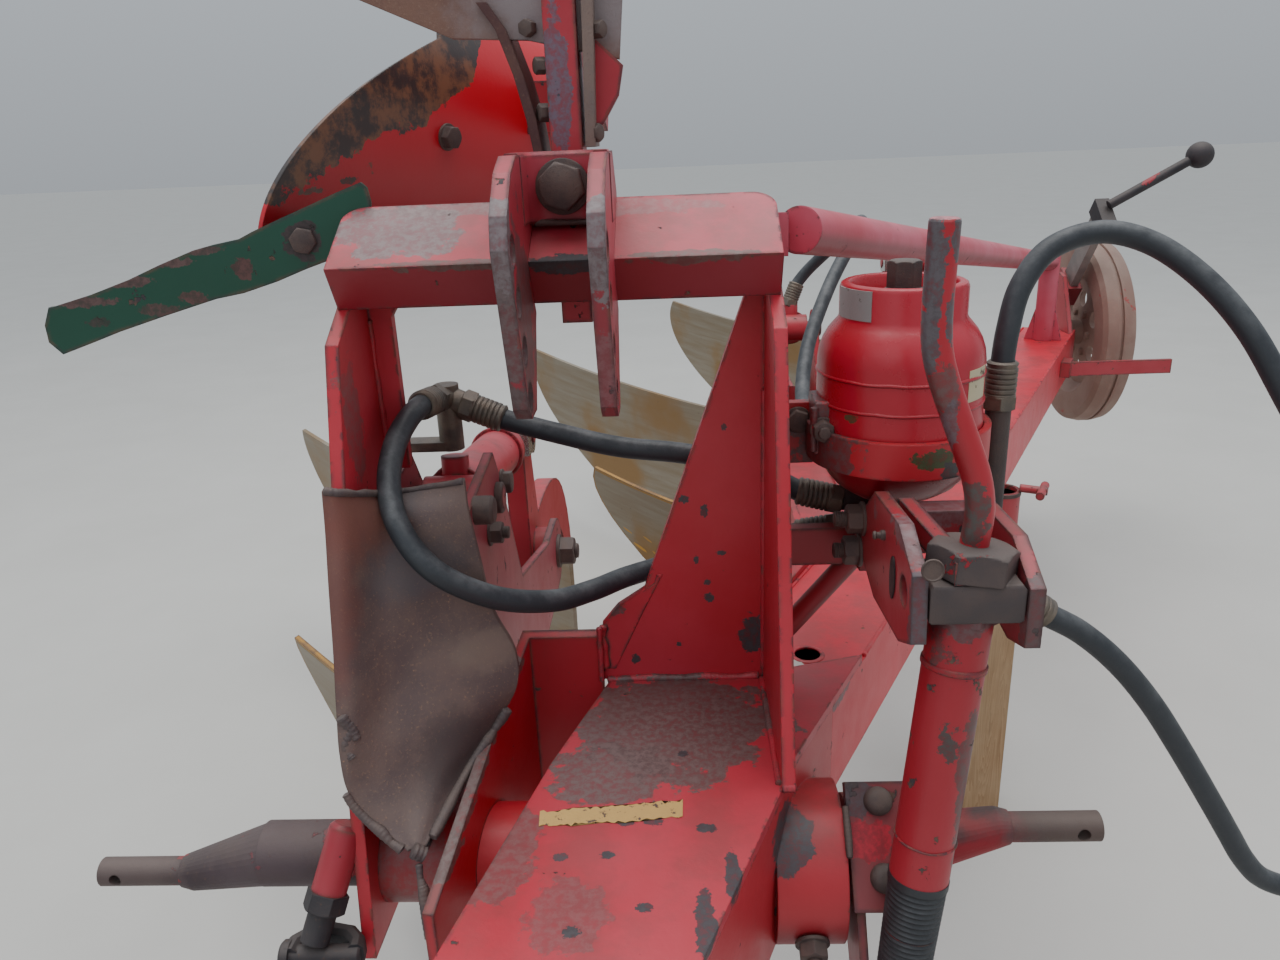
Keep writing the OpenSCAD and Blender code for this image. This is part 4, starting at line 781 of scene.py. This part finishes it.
rod_steel = bright("rod_steel", (0.55, 0.54, 0.51))
coat(rod_steel, "rod_steel", "rod_1", "rod_2", "rod_3")
UNITS = [(-140, 630), (325, 1515), (790, 2400)]
RAM_WAY = unit((0, 410, -54))
RAM_LEN = 285
PIVOT_BACK, PIVOT_Z, HINGE_Z = 430, 294, 40
for i, (x, y) in enumerate(UNITS):
    front = np.array((x, y - PIVOT_BACK, float(PIVOT_Z)))
    gland = front + RAM_LEN * RAM_WAY
    around_ram = [front + 25 * RAM_WAY + 31 * unit((np.cos(a), 0, np.sin(a)))
                  for a in np.linspace(0, 2 * np.pi, 40)]
    fixings("ram_gland_%d" % (i + 1),
            turned([(0, 35.2), (1, 36), (5, 36), (6, 35.2)], gland - 27 * RAM_WAY, RAM_WAY, 40),
            turned([(0, 30), (4, 30), (7, 27), (7.2, 17)], gland + 2.5 * RAM_WAY, RAM_WAY, 36),
            bead(around_ram, 2.4, 30 + i),
            material=ram_red, slot="red_paint", body="barrel_unit_%d" % (i + 1))
    sides = [(48.5, RIGHT)] + ([(-48.5, LEFT)] if i else [])
    pivots = []
    for off, way in sides:
        pivots += [nut((x + off, y, HINGE_Z), way, 40, 6),
                   turned([(-0.5, 17), (5, 17), (7, 15)], (x + off, y - PIVOT_BACK, PIVOT_Z), way, 28)]
    fixings("pivot_nuts_%d" % (i + 1), *pivots)
    if i:
        rows = [(y - 300, 12), (y - 220, 12), (y - 300, 62), (y - 220, 62)]
        fixings("flange_bolts_%d" % (i + 1), *[bolt((x + off, a, b), way, 26, 0.3 * k)
                                              for off, way in sides for k, (a, b) in enumerate(rows)])

# Legs
# Flat bars, 30 mm thick, bent by years of stones and still red, with blue
# grey undercoat at the edges. Shares and boards bolt to their frogs.
leg_red = paint("leg_red", (0.40, 0.016, 0.028), (0.46, 0.045, 0.06), 1.2, 1.1, 0.5)
coat(leg_red, "dark_paint", "leg_1", "leg_2", "leg_3")


def soil_polished(name, tints, rough, metallic, along=False):
    """Steel that the soil has scoured, under a first film of rust. Where a sheet carries its own
    measure, along, the streaks run with its level lines."""
    s = Shade(name)
    if along:
        s.place = s.node("ShaderNodeAttribute", attribute_name="run").outputs["Vector"]
        streaks = s.noise(5.0, 6.0, 0.6, s.scaled(0.8, 9.0, 1.0), 0.2)
    else:
        streaks = s.noise(6.0, 6.0, 0.6, s.scaled(1.6, 1.6, 5.0), 0.3)
    colour = s.mix(s.steps(streaks, 0.32, 0.68), tints[0], tints[1])
    colour = s.mix(s.steps(s.noise(3.2, 4.0, 0.5), 0.46, 0.62), colour, tints[2])
    fine = s.noise(90.0, 8.0, 0.7)
    colour = s.mix(s.math("MULTIPLY", s.steps(fine, 0.60, 0.72), 0.6), colour, (0.10, 0.06, 0.035))
    r = s.math("MULTIPLY_ADD", streaks, 0.25, rough)
    return s.finish(colour, r, metallic, s.math("MULTIPLY", fine, 0.6), 0.0003, 0.0016)


board_steel = soil_polished(
    "board_steel", [(0.225, 0.175, 0.115), (0.27, 0.235, 0.18), (0.25, 0.145, 0.055)], 0.34, 0.3, True)
share_steel = soil_polished(
    "share_steel", [(0.16, 0.115, 0.085), (0.21, 0.165, 0.125), (0.19, 0.11, 0.065)], 0.38, 0.4)
coat(share_steel, "worn_steel", "share_1", "share_2", "share_3")

BOARD_R, BOARD_LEN, BOARD_RISE = 430, 980, 100
SHARE_LEN, SHARE_FALL = 560, 20
PHI_0, PHI_1, PHI_2 = 28, 46, 105


def on_body(phi, s, depth=0.0, k=1.0):
    """Points and outward directions on a body's working face. A level line at the angle phi up the
    hollow runs off the shin at an angle that opens with phi; s is the way along it, and the
    hollow itself is an arc of radius BOARD_R whose far end rises with the square of s."""
    phi, s = np.broadcast_arrays(np.asarray(phi, float), np.asarray(s, float))
    rise = (phi - PHI_0) / (PHI_2 - PHI_0)
    a, f, f0 = np.radians(42 + 8 * rise), np.radians(phi), math.radians(PHI_0)
    n = np.stack([np.cos(a) * np.sin(f), np.sin(a) * np.sin(f), -np.sin(a) * np.cos(f)], -1)
    n /= np.linalg.norm(n, axis=-1, keepdims=True)
    across, along = -s * np.sin(a), BOARD_R * (np.sin(f) - math.sin(f0)) + s * np.cos(a)
    high = BOARD_R * (math.cos(f0) - np.cos(f)) + BOARD_RISE * (s / BOARD_LEN) ** 2 * rise
    p = k * np.stack([across, along, high], -1) + depth * n
    p[..., 2] = np.maximum(p[..., 2], 0)
    return p, -n


def line_length(phi):
    """Length of a level line: nearly even over the share, then out and back as a sine."""
    low = SHARE_LEN - SHARE_FALL * (phi - PHI_0) / (PHI_1 - PHI_0)
    wave = np.sin(np.radians(112 * (phi - PHI_1) / (PHI_2 - PHI_1)))
    high = SHARE_LEN - SHARE_FALL + (BOARD_LEN - SHARE_LEN + SHARE_FALL) * wave
    return np.where(phi <= PHI_1, low, high)


def body_sheet(name, angles, thick, k, place, material, body, inset=(0.0, 0.0)):
    """Sheet over the level lines between two angles, thick mm deep, moved to its place. inset is
    how far it keeps off the shin and off the lines' far ends. Each point keeps its way along the
    line and up the hollow, in metres, as the attribute run."""
    phi = np.linspace(*angles, 61)[:, None]
    u = np.linspace(0, 1, 71)[None, :]
    s = inset[0] + (line_length(phi) - inset[0] - inset[1]) * u
    face, back = on_body(phi, s, 0.0, k)[0], on_body(phi, s, thick, k)[0]
    ring = place(np.concatenate([face, back[:, ::-1]], 1)) / 1000
    made = piece(name, [skin(ring, folded=True)], material, body)
    run = np.stack([s * k / 1000, np.radians(phi) * k * BOARD_R / 1000 + 0 * s, 0 * s], -1)
    run = np.concatenate([run, run[:, ::-1]], 1)
    made.data.attributes.new("run", "FLOAT_VECTOR", "POINT").data.foreach_set("vector", run.ravel())
    return made


def plough_bolts(origin, places, k=1.0, r=10.0):
    """Flat countersunk heads, worn level with the face."""
    out = []
    for phi, s in places:
        at, way = on_body(phi, s, 0.0, k)
        out.append(turned([(-2, r), (0.4, r), (0.9, 0.86 * r), (0.7, 0.3 * r)], origin + at, way, 28))
    return out


for i, (x, y) in enumerate(UNITS):
    leg, origin = "leg_unit_%d" % (i + 1), np.array((x + 27, y + 70, -592.0))
    board = body_sheet("board_face_%d" % (i + 1), (PHI_1 + 0.1, PHI_2), 9.0, 1.0, lambda p: origin + p,
                       board_steel, leg)
    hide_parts("mouldboard_%d" % (i + 1))
    places = [(35, 60), (35, 190), (35, 330), (56, 40), (56, 150), (72, 50), (72, 170), (64, 300)]
    fixings("body_bolts_%d" % (i + 1), *plough_bolts(origin, places), material=share_steel,
            slot="worn_steel", body=leg)
    heads = [bolt((x + 15, y + a, b), RIGHT, 26, 0.2) for a, b in ((300, -430), (370, -440))]
    fixings("leg_bolts_%d" % (i + 1), *heads, body=leg)

# Skimmers
# A small body on a flat yellow stem runs ahead of each furrow slice, held by
# a clamp on the trip bracket's furrow side.
skim_paint = paint("skim_paint", (0.50, 0.25, 0.02), (0.42, 0.22, 0.05), 1.4, 1.4, 0.6)
for i, (x, y) in enumerate(UNITS):
    mesh = nodes["skimmer_%d" % (i + 1)].data
    mesh.materials.clear()
    mesh.materials.append(skim_paint)
    origin = np.array((x - 68, y - 330, -462.0))
    body_sheet("skimmer_face_%d" % (i + 1), (PHI_0 + 1.5, PHI_2 - 2), 3.0, 0.52,
               lambda p: origin + p - (0.5, 0.5, 0), board_steel, "frame", (12, 14))
    fixings("skimmer_bolts_%d" % (i + 1), *[bolt((x - 76.3, y - a, b), LEFT, 26, 0.2)
                                            for a, b in ((182, 70), (182, 110), (172, -340), (158, -290))],
            *plough_bolts(origin, [(50, 120), (70, 160), (40, 240)], 0.52, 8.0))

# Stowed body
# A spare small body rides upside down behind the crossbeam: a red board with
# its top edge rubbed bare, its worn share, a painted leg and a green tail bar.
spare_red = paint("spare_red", (0.60, 0.008, 0.022), (0.62, 0.018, 0.036), 0.3, 0.25, 0.1, zones=[
    ((-236, 190, 615), (16, 30, 5), (0.09, 0.06, 0.045), 0.9),
    ((-200, 262, 628), (5, 10, 12), (0.12, 0.06, 0.035), 0.8),
    ((-214, 240, 622), (12, 14, 4), (0.05, 0.035, 0.03), 0.9),
    ((-185, 282, 600), (8, 12, 8), (0.10, 0.05, 0.03), 0.7)], rough=0.3, rubbed="bare")
STOW_AT = np.array((-45.0, 657.0, 792.0))
STOW_TURN = np.array(Euler(np.radians((-175.3, 9.0, 18.2))).to_matrix())
stowed = body_sheet("stowed_board", (PHI_0, PHI_2), 6.0, 0.47, lambda p: STOW_AT + p @ STOW_TURN.T,
                    spare_red, "frame")
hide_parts("spare_board")
WORN_X = [-300, -262, -235, -213, -193, -178, -160, -149, -138, -128, -117, -112, -108]
WORN_Z = [600, 612, 630, 649, 659, 668, 671, 684, 698, 708, 720, 745, 800]
spot = np.empty(len(stowed.data.vertices) * 3)
stowed.data.vertices.foreach_get("co", spot)
spot = 1000 * spot.reshape(-1, 3)
stowed.data.attributes.new("bare", "FLOAT", "POINT").data.foreach_set(
    "value", (spot[:, 2] - np.interp(spot[:, 0], WORN_X, WORN_Z)) / 1000)
spare_leg_red = paint("spare_leg_red", (0.38, 0.014, 0.026), (0.46, 0.04, 0.06), 1.3, 1.5, 0.3, zones=[
    ((6, 161, 700), (12, 20, 60), (0.085, 0.10, 0.135), 0.7),
    ((-2, 161, 590), (14, 20, 50), (0.075, 0.085, 0.11), 0.6)])
coat(spare_leg_red, "dark_paint", "spare_leg")
bar_brown = rust("bar_brown", [(0.17, 0.13, 0.12), (0.22, 0.155, 0.13), (0.12, 0.08, 0.07)], scale=24.0)
tail_green = paint("tail_green", (0.006, 0.062, 0.034), (0.010, 0.075, 0.044), 1.5, 1.3, 0.15, zones=[
    ((-240, 154, 574), (19, 26, 19), (0.045, 0.03, 0.03), 1.0),
    ((-296, 144, 551), (9, 20, 13), (0.09, 0.04, 0.035), 1.0),
    ((-446, 124, 529), (32, 20, 6), (0.10, 0.055, 0.05), 1.0),
    ((-404, 130, 545), (30, 20, 6), (0.10, 0.055, 0.05), 1.0),
    ((-362, 138, 560), (26, 20, 5), (0.10, 0.055, 0.05), 1.0),
    ((-330, 140, 570), (20, 20, 4), (0.10, 0.055, 0.05), 0.9),
    ((-345, 138, 528), (14, 20, 7), (0.10, 0.045, 0.04), 0.9),
    ((-378, 134, 518), (22, 20, 6), (0.09, 0.045, 0.04), 0.8),
    ((-432, 126, 510), (12, 20, 5), (0.05, 0.035, 0.03), 0.8)])
TAIL_AT, TAIL_WAY = np.array((-485.0, 120.0, 502.0)), unit((293, 45, 0))
TAIL = [(15, 24), (12, 24), (5, 8), (5, -8), (15, -20), (43, -11), (70, -2), (116, 11), (161, 23),
        (187, 27), (219, 36), (247, 46), (276, 55), (309, 70), (313, 103), (311, 116), (306, 121),
        (283, 113), (260, 104), (231, 93), (203, 82), (190, 76), (166, 72), (148, 68), (117, 57),
        (87, 45), (50, 33)]
tail = piece("stowed_tail", [slab(TAIL, TAIL_AT + (0.6, -4, 0), TAIL_WAY, UP, 8.0),
                             turned([(0, 14), (58, 14)], (-250, 156, 576), (0.13, 0.98, -0.13))],
             tail_green, "frame")
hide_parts("spare_tail")
tail_out = unit((0.15, -0.99, 0.0))
board_out = unit((0.87, -0.48, -0.12))
fixings("spare_bolts", bolt((-239.6, 153.2, 573.7), tail_out, 22, 0.3),
        turned([(-0.5, 21), (2.6, 21), (3, 20)], (-239.6, 153.4, 573.7), tail_out),
        bolt(np.array((-142.8, 364.5, 660.1)), board_out, 22, 0.5),
        hex_head((-17, 172, 746), (-0.4, -1, 0), 13, 9), hex_head((-6, 168, 715), (-1, -0.5, 0), 13, 9),
        hex_head((-5, 172, 676), (-1, -0.5, 0), 14, 10), hex_head((41, 166, 742), (1, -0.6, 0), 13, 9),
        hex_head((33, 166, 657), (1, -0.6, 0), 14, 10), bolt((25.5, 270, 730), RIGHT, 22, 0.6),
        bolt((-4.5, 300, 745), LEFT, 22, 0.6))
stow_share = rust("stow_share", [(0.17, 0.085, 0.065), (0.21, 0.11, 0.08), (0.27, 0.17, 0.12)],
                  scale=22.0, rough=0.5, zones=[((10, 180, 760), (84, 60, 34), (0.26, 0.22, 0.225), 0.85)])
strip_brown = rust("strip_brown", [(0.085, 0.035, 0.034), (0.12, 0.055, 0.045), (0.16, 0.09, 0.07)],
                   scale=30.0)
for name, depth, thick, material, slot, outline in (
        ("share", 184, 9, stow_share, "worn_steel",
         [(-186, 812), (-168, 776), (-88, 741), (-20, 737), (61, 718), (66, 770), (64, 812)]),
        ("shin", 232, 66, strip_brown, "dark_paint",
         [(-62, 768), (-47, 746), (-34, 708), (-25, 670), (-19, 631), (-11, 631), (-16, 670),
          (-25, 708), (-38, 746), (-53, 768)]),
        ("strip", 208, 52, bar_brown, "worn_steel", [(28, 645), (37, 645), (43, 812), (32, 812)]),
        ("frog", 182, 9, spare_leg_red, "dark_paint",
         [(34, 741), (64, 713), (59, 688), (44, 664), (34, 662)])):
    piece("stowed_" + name, [slab(outline, (0, depth, 0), RIGHT, UP, thick)], material, "frame", 30)

# Gas accumulator
# A welded steel bottle with a screwed ring round its filling valve stands in
# a band on a flat arm. Its gloss red is newer than the frame's.
bottle_red = paint("bottle_red", (0.40, 0.011, 0.024), (0.44, 0.02, 0.038), 0.35, 0.35, 0.2, zones=[
    ((303, 68, 487), (7, 10, 5), (0.055, 0.065, 0.03), 0.9),
    ((262, 88, 404), (6, 10, 4), (0.055, 0.065, 0.03), 0.8)], rough=0.24)
band_red = paint("band_red", (0.44, 0.012, 0.022), (0.47, 0.03, 0.04), 0.8, 0.8, 0.2, zones=[
    ((262, 130, 370), (52, 60, 60), (0.10, 0.055, 0.055), 0.85),
    ((330, 60, 372), (20, 14, 10), (0.05, 0.06, 0.025), 0.95),
    ((345, 66, 358), (10, 14, 12), (0.045, 0.04, 0.04), 0.95)])
coat(band_red, "dark_paint", "accumulator_arm")
steel_dark = rust("steel_dark", [(0.055, 0.042, 0.042), (0.09, 0.065, 0.058), (0.14, 0.075, 0.05)],
                  (0.30, 0.02, 0.03), 0.22, scale=26.0)
coat(steel_dark, "dark_paint", "valve_block")
AXIS = np.array((315.0, 140.0))


def box(low, high, soft=0.0):
    """Upright box between two corners in mm, with its rims rounded by soft."""
    (x0, y0, z0), (x1, y1, z1) = low, high
    return slab([(0, 0), (x1 - x0, 0), (x1 - x0, y1 - y0), (0, y1 - y0)], low, RIGHT, REAR, z1 - z0, soft)


def around(radius, a0, a1, z0, z1):
    """Thin curved plate on the bottle's upright wall, between the angles a0 and a1 and the heights
    z0 and z1. It stands 0.6 mm out from the wall and goes 1 mm into it."""
    a = np.radians(np.linspace(a0, a1, 25))
    turn, r = np.concatenate([a, a[::-1]]), np.repeat([radius + 0.6, radius - 1], 25)
    ring = [np.stack([AXIS[0] + r * np.cos(turn), AXIS[1] + r * np.sin(turn), np.full(50, z)], 1)
            for z in (z0, z1)]
    return skin(np.array(ring) / 1000)


BOTTLE = [(0, 24), (3, 38), (9, 48), (16, 58), (26, 66), (38, 72.5), (48, 76), (62, 78.4), (84, 78.6),
          (92, 77.2), (138, 77), (148, 75.6), (157, 72.5), (165, 68), (171, 63), (175, 59.4), (178, 58),
          (204, 58), (207.5, 56.6), (209, 54), (208.6, 49.5), (206, 47.6), (188, 47), (187, 20)]
bottle = piece("bottle", [turned(BOTTLE, (*AXIS, 310), UP, 96)], bottle_red, "frame")
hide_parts("accumulator")
SEAM_R = 76.6
t = np.linspace(0, 2 * np.pi, 97)
seams = [np.stack([AXIS[0] + SEAM_R * np.cos(t), AXIS[1] + SEAM_R * np.sin(t), np.full(97, z)], 1)
         for z in (410, 437)]
fixings("bottle_seams", *[bead(p, 1.8, 40 + k) for k, p in enumerate(seams)], material=bottle_red,
        slot="red_paint")
fixings("gas_valve", turned([(0, 18), (16, 18), (17, 16)], (315, 140, 495), UP),
        hex_head((315, 140, 511), UP, 27, 26, 0.3), material=steel_dark)
tin_plate = paper("tin_plate", (0.28, 0.28, 0.27), (0.12, 0.10, 0.09), 0.6)
piece("bottle_plate", [around(58, 182, 230, 489, 516)], tin_plate, "frame")
cream_paper = paper("cream_paper", (0.58, 0.50, 0.32), (0.14, 0.10, 0.07), 0.7)
piece("bottle_label", [around(76.9, -52, -28, 417, 446)], cream_paper, "frame")
fixings("band_lug", box((232, 108, 362), (246, 154, 414), 2.0),
        bead([(231, 108, 366), (231, 108, 410)], 3.4, 45),
        bead([(247, 112, 366), (247, 112, 410)], 3.0, 46), material=band_red, slot="red_paint")
fixings("band_bolts", bolt((222, 155.5, 384), FRONT, 20, 0.2), nut((239, 107.8, 388), FRONT, 18, 5))

# Hose ends
# Each hose ends in a crimped steel sleeve and a hexagon, screwed to a tee or
# a block. Their plating has gone dull and brown.
def ferrule(at, way):
    """Crimped steel sleeve over a hose end, drawn in at six rings, with a collar before it."""
    rows = [(0, 12), (1, 13.8)]
    for k in range(6):
        rows += [(s + 5 * k, r) for s, r in ((3, 15), (6, 15), (6.8, 13.8), (7.4, 13.8))]
    rows += [(36, 15), (38, 12.6)]
    return [turned(rows, at, way, 32), turned([(-3, 11.2), (0, 13)], at, way)]


fitting_steel = rust("fitting_steel", [(0.12, 0.105, 0.09), (0.19, 0.155, 0.12), (0.09, 0.06, 0.045)],
                     scale=50.0, rough=0.48, metallic=0.6)
coat(fitting_steel, "worn_steel", "hose_tee")
ends = []
for name, path in hose_pieces.items():
    for tip, inner in ((path[0], path[7]), (path[-1], path[-8])):
        way = unit(inner - tip)
        ends += ferrule(tip * 1000 - 1.5 * way, way)
        ends.append(hex_head(tip * 1000 + 2 * way, -way, 29, 13, 0.2))
fixings("hose_ends", *ends, material=fitting_steel, slot="worn_steel")

# Screw spindle
# A nut block on trunnions between two lugs holds a screw that sets the hitch
# shaft's turn. Its tube is chipped red, and a rubber boot hides the thread.
spindle_red = paint("spindle_red", (0.32, 0.010, 0.020), (0.37, 0.02, 0.032), 1.0, 1.7, 0.25, zones=[
    ((318, -76, 250), (22, 18, 42), (0.065, 0.045, 0.042), 0.7),
    ((312, -112, 190), (14, 12, 22), (0.06, 0.045, 0.042), 0.9),
    ((330, -80, 130), (12, 40, 90), (0.065, 0.045, 0.042), 0.75),
    ((328, -66, 306), (60, 60, 30), (0.10, 0.05, 0.052), 0.85)])
coat(spindle_red, "red_paint", "spindle")
handle_red = paint("handle_red", (0.38, 0.009, 0.018), (0.43, 0.020, 0.034), 1.0, 0.2, 0.2, zones=[
    ((322, -68, 372), (18, 22, 26), (0.065, 0.055, 0.05), 0.85),
    ((296, -70, 470), (16, 20, 20), (0.08, 0.06, 0.055), 0.7),
    ((286, -72, 560), (9, 12, 40), (0.085, 0.07, 0.078), 0.95),
    ((302, -74, 578), (6, 9, 22), (0.085, 0.07, 0.078), 0.95),
    ((284, -74, 505), (8, 10, 34), (0.085, 0.07, 0.078), 0.95),
    ((300, -74, 522), (5, 9, 20), (0.085, 0.07, 0.078), 0.9),
    ((304, -70, 440), (7, 14, 26), (0.10, 0.07, 0.08), 0.8),
    ((293, -66, 595), (20, 20, 5), (0.45, 0.16, 0.18), 0.9)], rough=0.3)
HANDLE = np.array([(331, -63.5, 332), (336, -65, 384), (296, -66, 484), (291, -66, 513),
                   (293, -66, 589)]) / 1000


def rounded(line, reach):
    """Line whose inner corners are quadratic curves that start and end at reach from them."""
    s, rows = np.linspace(0, 1, 10)[:, None], [line[:1]]
    for p, q, r in zip(line, line[1:], line[2:]):
        p, r = (q + min(reach, np.linalg.norm(e - q) / 2.1) * unit(e - q) for e in (p, r))
        rows.append((1 - s) ** 2 * p + 2 * s * (1 - s) * q + s ** 2 * r)
    return np.vstack(rows + [line[-1:]])


HANDLE_R = 0.0112
handle_end = turned([(0, 11.2), (2, 10.6), (3, 8.6)], (293, -66, 588.6), (0.02, 0, 1), 40)
handle = piece("cranked_handle", [skin(swept(rounded(HANDLE, 0.030), HANDLE_R, 40)), handle_end],
               handle_red, "frame")
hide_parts("spindle_handle")
lug_red = paint("lug_red", (0.30, 0.018, 0.028), (0.36, 0.05, 0.062), 1.4, 1.5, 0.45, zones=[
    ((285, -70, 348), (14, 60, 14), (0.15, 0.095, 0.10), 0.8),
    ((285, -96, 300), (14, 12, 60), (0.065, 0.06, 0.068), 0.75),
    ((372, -96, 300), (14, 14, 50), (0.075, 0.05, 0.05), 0.8),
    ((340, 50, 330), (60, 30, 20), (0.14, 0.08, 0.085), 0.7)])
coat(lug_red, "dark_paint", "spindle_bracket")
top, foot = np.array((328.0, -66, 306)), np.array((279.0, -112, -130))
down = unit(foot - top)
boot_s = np.arange(258, 418, 1.0)
boot_r = 23.5 - 3.5 * (boot_s - 258) / 160 + 1.5 * np.abs((boot_s / 5.0) % 1 * 2 - 1)
boot_r[:8] = 25.6
boot_black = rubber("boot_black", (0.020, 0.022, 0.026), (0.075, 0.078, 0.082), 40.0)
piece("spindle_boot", [turned(np.stack([boot_s, boot_r], 1), top, down, 40)], boot_black, "frame",
      60)
side, over = axes(down)
ring_weld = [top + 222 * down + 25.2 * (np.cos(t) * side + np.sin(t) * over)
             for t in np.linspace(0, 2 * np.pi, 40)]
fixings("spindle_trim", turned([(60, 25.2), (61, 26.4), (65, 26.4), (66, 25.2)], top, down, 40),
        bead(ring_weld, 1.1, 50), material=spindle_red, slot="red_paint")
fixings("spindle_fixings", nut((279, 100, 300), LEFT, 25, 12, 0.2), nut((279, 112, 262), LEFT, 25, 10, 0.5),
        turned([(-1, 4.5), (3, 4.5), (4, 3), (7, 3), (8, 4), (10, 3.2)], (279, 8, 322), LEFT, 20),
        turned([(-1, 8.5), (0.5, 9), (1.6, 8), (0.4, 7)], (292, -98, 338), (0, -1, 0.2), 24))
black_hole = rubber("hole_dark", (0.012, 0.010, 0.011), (0.03, 0.024, 0.024), 50.0)
t = np.linspace(0, 2 * np.pi, 33)[:-1]
piece("lug_slot", [slab(np.stack([9 * np.cos(t), 19 * np.sin(t)], 1), (278.7, -30, 300), FRONT, UP, 1.0)],
      black_hole, "frame")
trunnion = rust("trunnion", [(0.075, 0.058, 0.058), (0.105, 0.075, 0.068), (0.06, 0.05, 0.052)],
                (0.32, 0.02, 0.03), 0.25, scale=24.0)
piece("nut_block", [box((292.5, -96, 290), (364.5, -40, 322), 3.0),
                    hex_head((330, -66, 320), (0.11, 0.10, 0.99), 62, 24, 0.45)],
      trunnion, "frame")
lug_bar = slab([(0, -9), (118, -9), (118, 9), (0, 9)], (293, 22, 341), unit((16, -104, -8)),
               (0, 0.08, 1), -12, 1.2)
piece("lug_bar", [lug_bar], lug_red, "frame")

# Depth wheel
# A pressed steel wheel behind the land side sets the working depth. Its flat
# bar slides in a sleeve, and a lever with a ball clamps it.
wheel_rust = rust("wheel_rust", [(0.25, 0.145, 0.115), (0.31, 0.21, 0.17), (0.34, 0.15, 0.11)],
                  (0.40, 0.06, 0.055), 0.2, scale=10.0, rough=0.7, metallic=0.1)
coat(wheel_rust, "wheel_tread", "depth_wheel")
bar_pale = rust("bar_pale", [(0.20, 0.19, 0.18), (0.27, 0.25, 0.23), (0.15, 0.10, 0.08)], scale=20.0,
                rough=0.55, metallic=0.4)
coat(bar_pale, "worn_steel", "wheel_column")
coat(fork_black, "worn_steel", "wheel_crank")
ear_red = paint("ear_red", (0.36, 0.02, 0.032), (0.42, 0.06, 0.075), 1.2, 1.2, 0.5)
coat(ear_red, "red_paint", "wheel_bracket")
coat(paint("stay_red_paint", (0.48, 0.045, 0.075), (0.56, 0.12, 0.17), 0.8, 1.1, 0.3), "red_paint",
     "stay_tube", "stay_post")
WHEEL = np.array((1291.93, 2075.77, 62.0))
HUB_BOLTS_R, DISC_X = 62, 8.5
hub = [turned([(-46, 30), (-37, 34), (37, 34), (46, 30), (49, 24)], WHEEL, RIGHT, 36),
       turned([(-46, 30), (-49, 27)], WHEEL, RIGHT, 36)]
hub_bolts = [bolt(WHEEL + (way * DISC_X, HUB_BOLTS_R * np.cos(q), HUB_BOLTS_R * np.sin(q)),
                  (way, 0, 0), 19, q)
             for way in (1, -1) for q in np.linspace(0, 2 * np.pi, 6, endpoint=False)]
fixings("wheel_hub", *hub, *hub_bolts, material=wheel_rust, slot="wheel_tread", body="wheel")
fixings("axle_end", nut((1350, *WHEEL[1:]), RIGHT, 34, 8, 0.3), body="wheel_arm")

# Parking socket and timber
# A short tube welded beside the beam takes a stand leg, on a pin with a ring.
# Here a sawn baulk of pale wood, 70 mm square, holds the plough up instead.
coat(paint("socket_red", (0.34, 0.02, 0.03), (0.42, 0.05, 0.06), 1.2, 1.5, 0.5), "dark_paint", "stand_socket")
wood = Shade("sawn_timber")
rings = wood.noise(3.0, 5.0, 0.5, wood.scaled(9.0, 9.0, 0.35), 0.6)
lines = wood.math("FRACT", wood.math("MULTIPLY", rings, 24.0))
grain_tint = wood.mix(lines, (0.42, 0.27, 0.145), (0.30, 0.175, 0.085))
grain_tint = wood.mix(wood.steps(wood.noise(2.2, 6.0), 0.4, 0.7), grain_tint, (0.46, 0.34, 0.21))
grain_tint = wood.mix(wood.steps(wood.noise(30.0, 7.0, 0.6, wood.scaled(1.0, 1.0, 0.1)), 0.62, 0.70),
                      grain_tint, (0.12, 0.08, 0.05))
fibre = wood.noise(60.0, 5.0, 0.6, wood.scaled(6.0, 6.0, 0.2))
timber_wood = wood.finish(grain_tint, 0.72, 0.0, fibre, 0.0006, 0.003)
coat(timber_wood, "timber", "timber_post")
SOCKET = on_beam(100, 954, 26)
fixings("socket_rim",
        turned([(-4, 31), (2, 31), (3, 29.5), (3, 25), (-4, 24.4)], SOCKET + (0, 0, 31), UP, 40),
        bead([on_beam(71, 930, 22), on_beam(71, 978, 22)], 3.0, 60))
